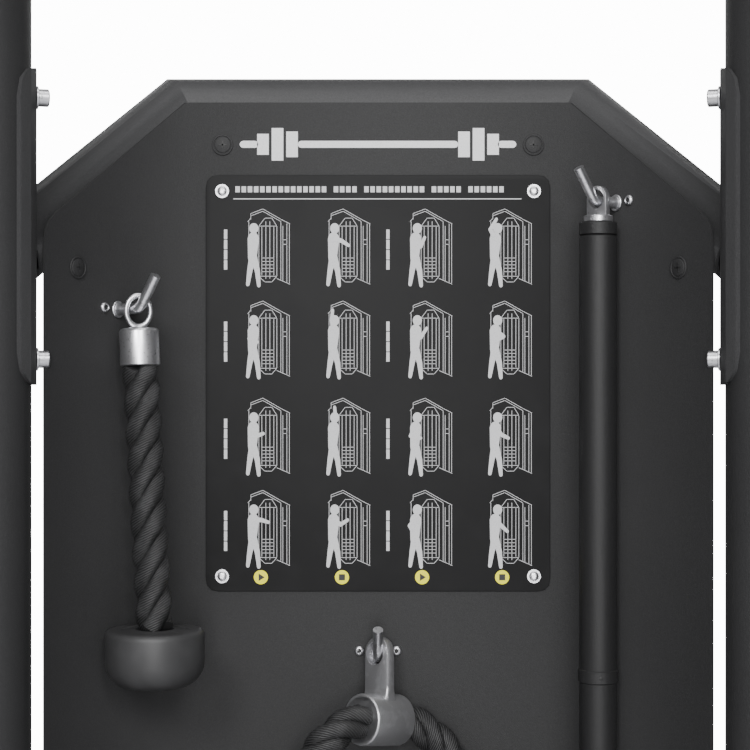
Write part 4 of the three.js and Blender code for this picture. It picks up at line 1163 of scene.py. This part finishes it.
def placard_print():
    """Sixteen small pictures, a heading and labels as plain blocks, and four round marks."""
    place = facet_frame(0, 0)
    machines, people = [], []
    for row, high in enumerate(ROWS):
        for column, x in enumerate(COLUMNS):
            shift = lambda points: [(x + u * 0.86, high + v * 0.98) for u, v in points]
            machines += [shift(line) for line in machine_drawing()]
            figure = person(0.6 * column, *ARM_POSES[row * 4 + column])
            people += [shift(outline) for outline in figure]
    header = []
    x = -122.6
    for word in (15, 4, 10, 5, 6):
        for k in range(word):
            header.append([(x, 1657), (x + 3.9, 1657), (x + 3.9, 1662.2), (x, 1662.2)])
            x += 5.3
        x += 5.0
    rule = [[(-124, 1651.4), (123, 1651.4)]]
    labels = []
    for high in ROWS:
        for x in (-131, 8.5):
            feet = [high - 17 + k * 8.8 for k in range(4)]
            labels += [[(x, foot), (x, foot + 6.4)] for foot in feet]
    marks = (-100.7, -31, 37.9, 106.7)
    level = 1326.2
    glyphs = []
    for i, x in enumerate(marks):
        if i % 2 == 0:
            corners = [(-1.9, 3.2), (-1.9, -3.2), (3.2, 0)]
        else:
            corners = [(-2.6, -2.6), (2.6, -2.6), (2.6, 2.6), (-2.6, 2.6)]
        glyphs.append([(x + u, level + v) for u, v in corners])
    prints = [
        (strokes("placard_machines", machines, 0.42, place, 0.0), PALE_INK),
        (fills("placard_figures", people, place, 0.14, 8), PALE_INK),
        (fills("placard_header", header, place, 0.0), PALE_INK),
        (strokes("placard_rule", rule, 0.8, place, 0.0), PALE_INK),
        (strokes("placard_labels", labels, 2.8, place, 0.0), PALE_INK),
        (fills("placard_dots", [disc(x, level, 6.1, 40) for x in marks], place, 0.0), YELLOW_INK),
        (fills("placard_glyphs", glyphs, place, 0.14), DARK_INK),
    ]
    for piece, ink in prints:
        dress(piece, "placard_print", material=ink)
    button = turned("placard_screws", millimetres(BUTTON), None, 40)
    spots = [facet_frame(s * 134 * MM, high) for s in (-1, 1) for high in (1.658, 1.327)]
    dress(repeated("placard_screws", button, spots), "satin_steel", material=ZINC)


def emblem():
    """A plain dumbbell mark above the placard in place of any name."""
    bars = [capsule((-66, 0), (66, 0), 3, 3)]
    half = 5
    for s in (-1, 1):
        for x, tall in ((74, 11), (86.5, 14), (99, 9)):
            low, high = s * x - half, s * x + half
            bars.append([(low, -tall), (high, -tall), (high, tall), (low, tall)])
        bars.append(capsule((s * 106, 0), (s * 116, 0), 3, 3))
    place = facet_frame(0, 1.6985) @ Matrix.Translation((0, 0, -1.75 * MM))
    piece = fills("panel_emblem", bars, place, 0.0)
    dress(piece, "placard_print", material=WORDMARK_INK)


# ---- Frame pieces seen close to -----------------------------------------------------------
def posts():
    for name in SIDES:
        for which in ("inner_post", "outer_post"):
            node = f"{which}_{name}"
            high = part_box(node)[1].z / MM
            centre = middle(node)
            place = Matrix.Translation((centre.x, centre.y, 0))
            profile = [
                (59.2, 0), (60, 0.8), (60, 7.2), (59.2, 8), (41.5, 8), (39.6, 9), (38.4, 11),
                (38, 13.5), (38, high - 3.4), (37.2, high - 3), (37.6, high - 2.2),
                (37, high - 0.8), (34, high), (3, high),
            ]
            piece = turned(node + "_tube", millimetres(profile), place, 96)
            dress(piece, "frame_coat", replaces=[node])


def guide_rods():
    for name in SIDES:
        for which in ("guide_rod_inner", "guide_rod_outer"):
            node = f"{which}_{name}"
            low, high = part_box(node)
            centre = middle(node)
            place = Matrix.Translation((centre.x, centre.y, low.z))
            tall = (high.z - low.z) / MM
            profile = [(11.4, 0), (12.5, 1.2), (12.5, tall - 1.2), (11.4, tall)]
            piece = turned(node + "_bar", millimetres(profile), place, 64)
            dress(piece, "chrome", replaces=[node])


WHEEL = [
    (7.0, -8), (13, -8), (13.6, -7.4), (13.9, -6), (18, -5.6), (38, -5.6), (40, -7.6), (49.4, -8),
    (50, -7.4), (50, -6.2), (49.2, -5.2), (42.4, -2.2), (41.9, 0), (42.4, 2.2), (49.2, 5.2),
    (50, 6.2), (50, 7.4), (49.4, 8), (40, 7.6), (38, 5.6), (18, 5.6), (13.9, 6), (13.6, 7.4),
    (13, 8), (7.0, 8),
]


def pulleys():
    over = {}
    for name in SIDES:
        way = middle("tower_pulley_" + name) - middle("column_pulley_" + name)
        over[name] = UP.cross(Vector((way.x, way.y, 0))).normalized()
    for name in SIDES:
        for which in ("swivel_pulley", "column_pulley", "tower_pulley"):
            node = f"{which}_{name}"
            spindle = Vector((1, 0, 0)) if which == "swivel_pulley" else over[name]
            centre = middle(node)
            piece = turned(node + "_wheel", millimetres(WHEEL), axes(centre, UP, spindle), 72)
            dress(piece, "black_plastic", BODY[node], replaces=[node])


def carried_over():
    """Every other CAD node keeps its shape, merged and smoothly shaded."""
    done = set(remade())
    for node in sorted(frame["nodes"]):
        if node in done:
            continue
        soft = 0.5 * MM if node.startswith(("carriage", "placard")) else 0.0
        piece = skin(node, BODY[node], soft)
        if node.startswith("stack_cable"):
            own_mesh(piece)


def remade():
    """The CAD nodes that a piece modelled above stands for."""
    nodes = ["single_rope", "single_bumper", "center_rope", "center_bumper_left",
             "center_bumper_right", "rope_fitting", "bar_eye", "bar", "center_sleeve",
             "hook_left", "hook_right", "hook_center"]
    for name in SIDES:
        for which in ("inner_post", "outer_post", "guide_rod_inner", "guide_rod_outer",
                      "swivel_pulley", "column_pulley", "tower_pulley"):
            nodes.append(f"{which}_{name}")
    return nodes


camera()
single_rope_handle()
double_rope()
studio()
ferrule()
bar_eye()
straight_bar()
center_sleeve()
hook("left_hook", HOOK_LEFT, "hook_left", 1.2 * MM)
hook("right_hook", HOOK_RIGHT, "hook_right", 1 * MM)
hook("center_hook", HOOK_CENTER, "hook_center", 2.4 * MM)
saddle_bolts()
link_bolts()
panel_screws()
placard_print()
emblem()
posts()
guide_rods()
pulleys()
carried_over()
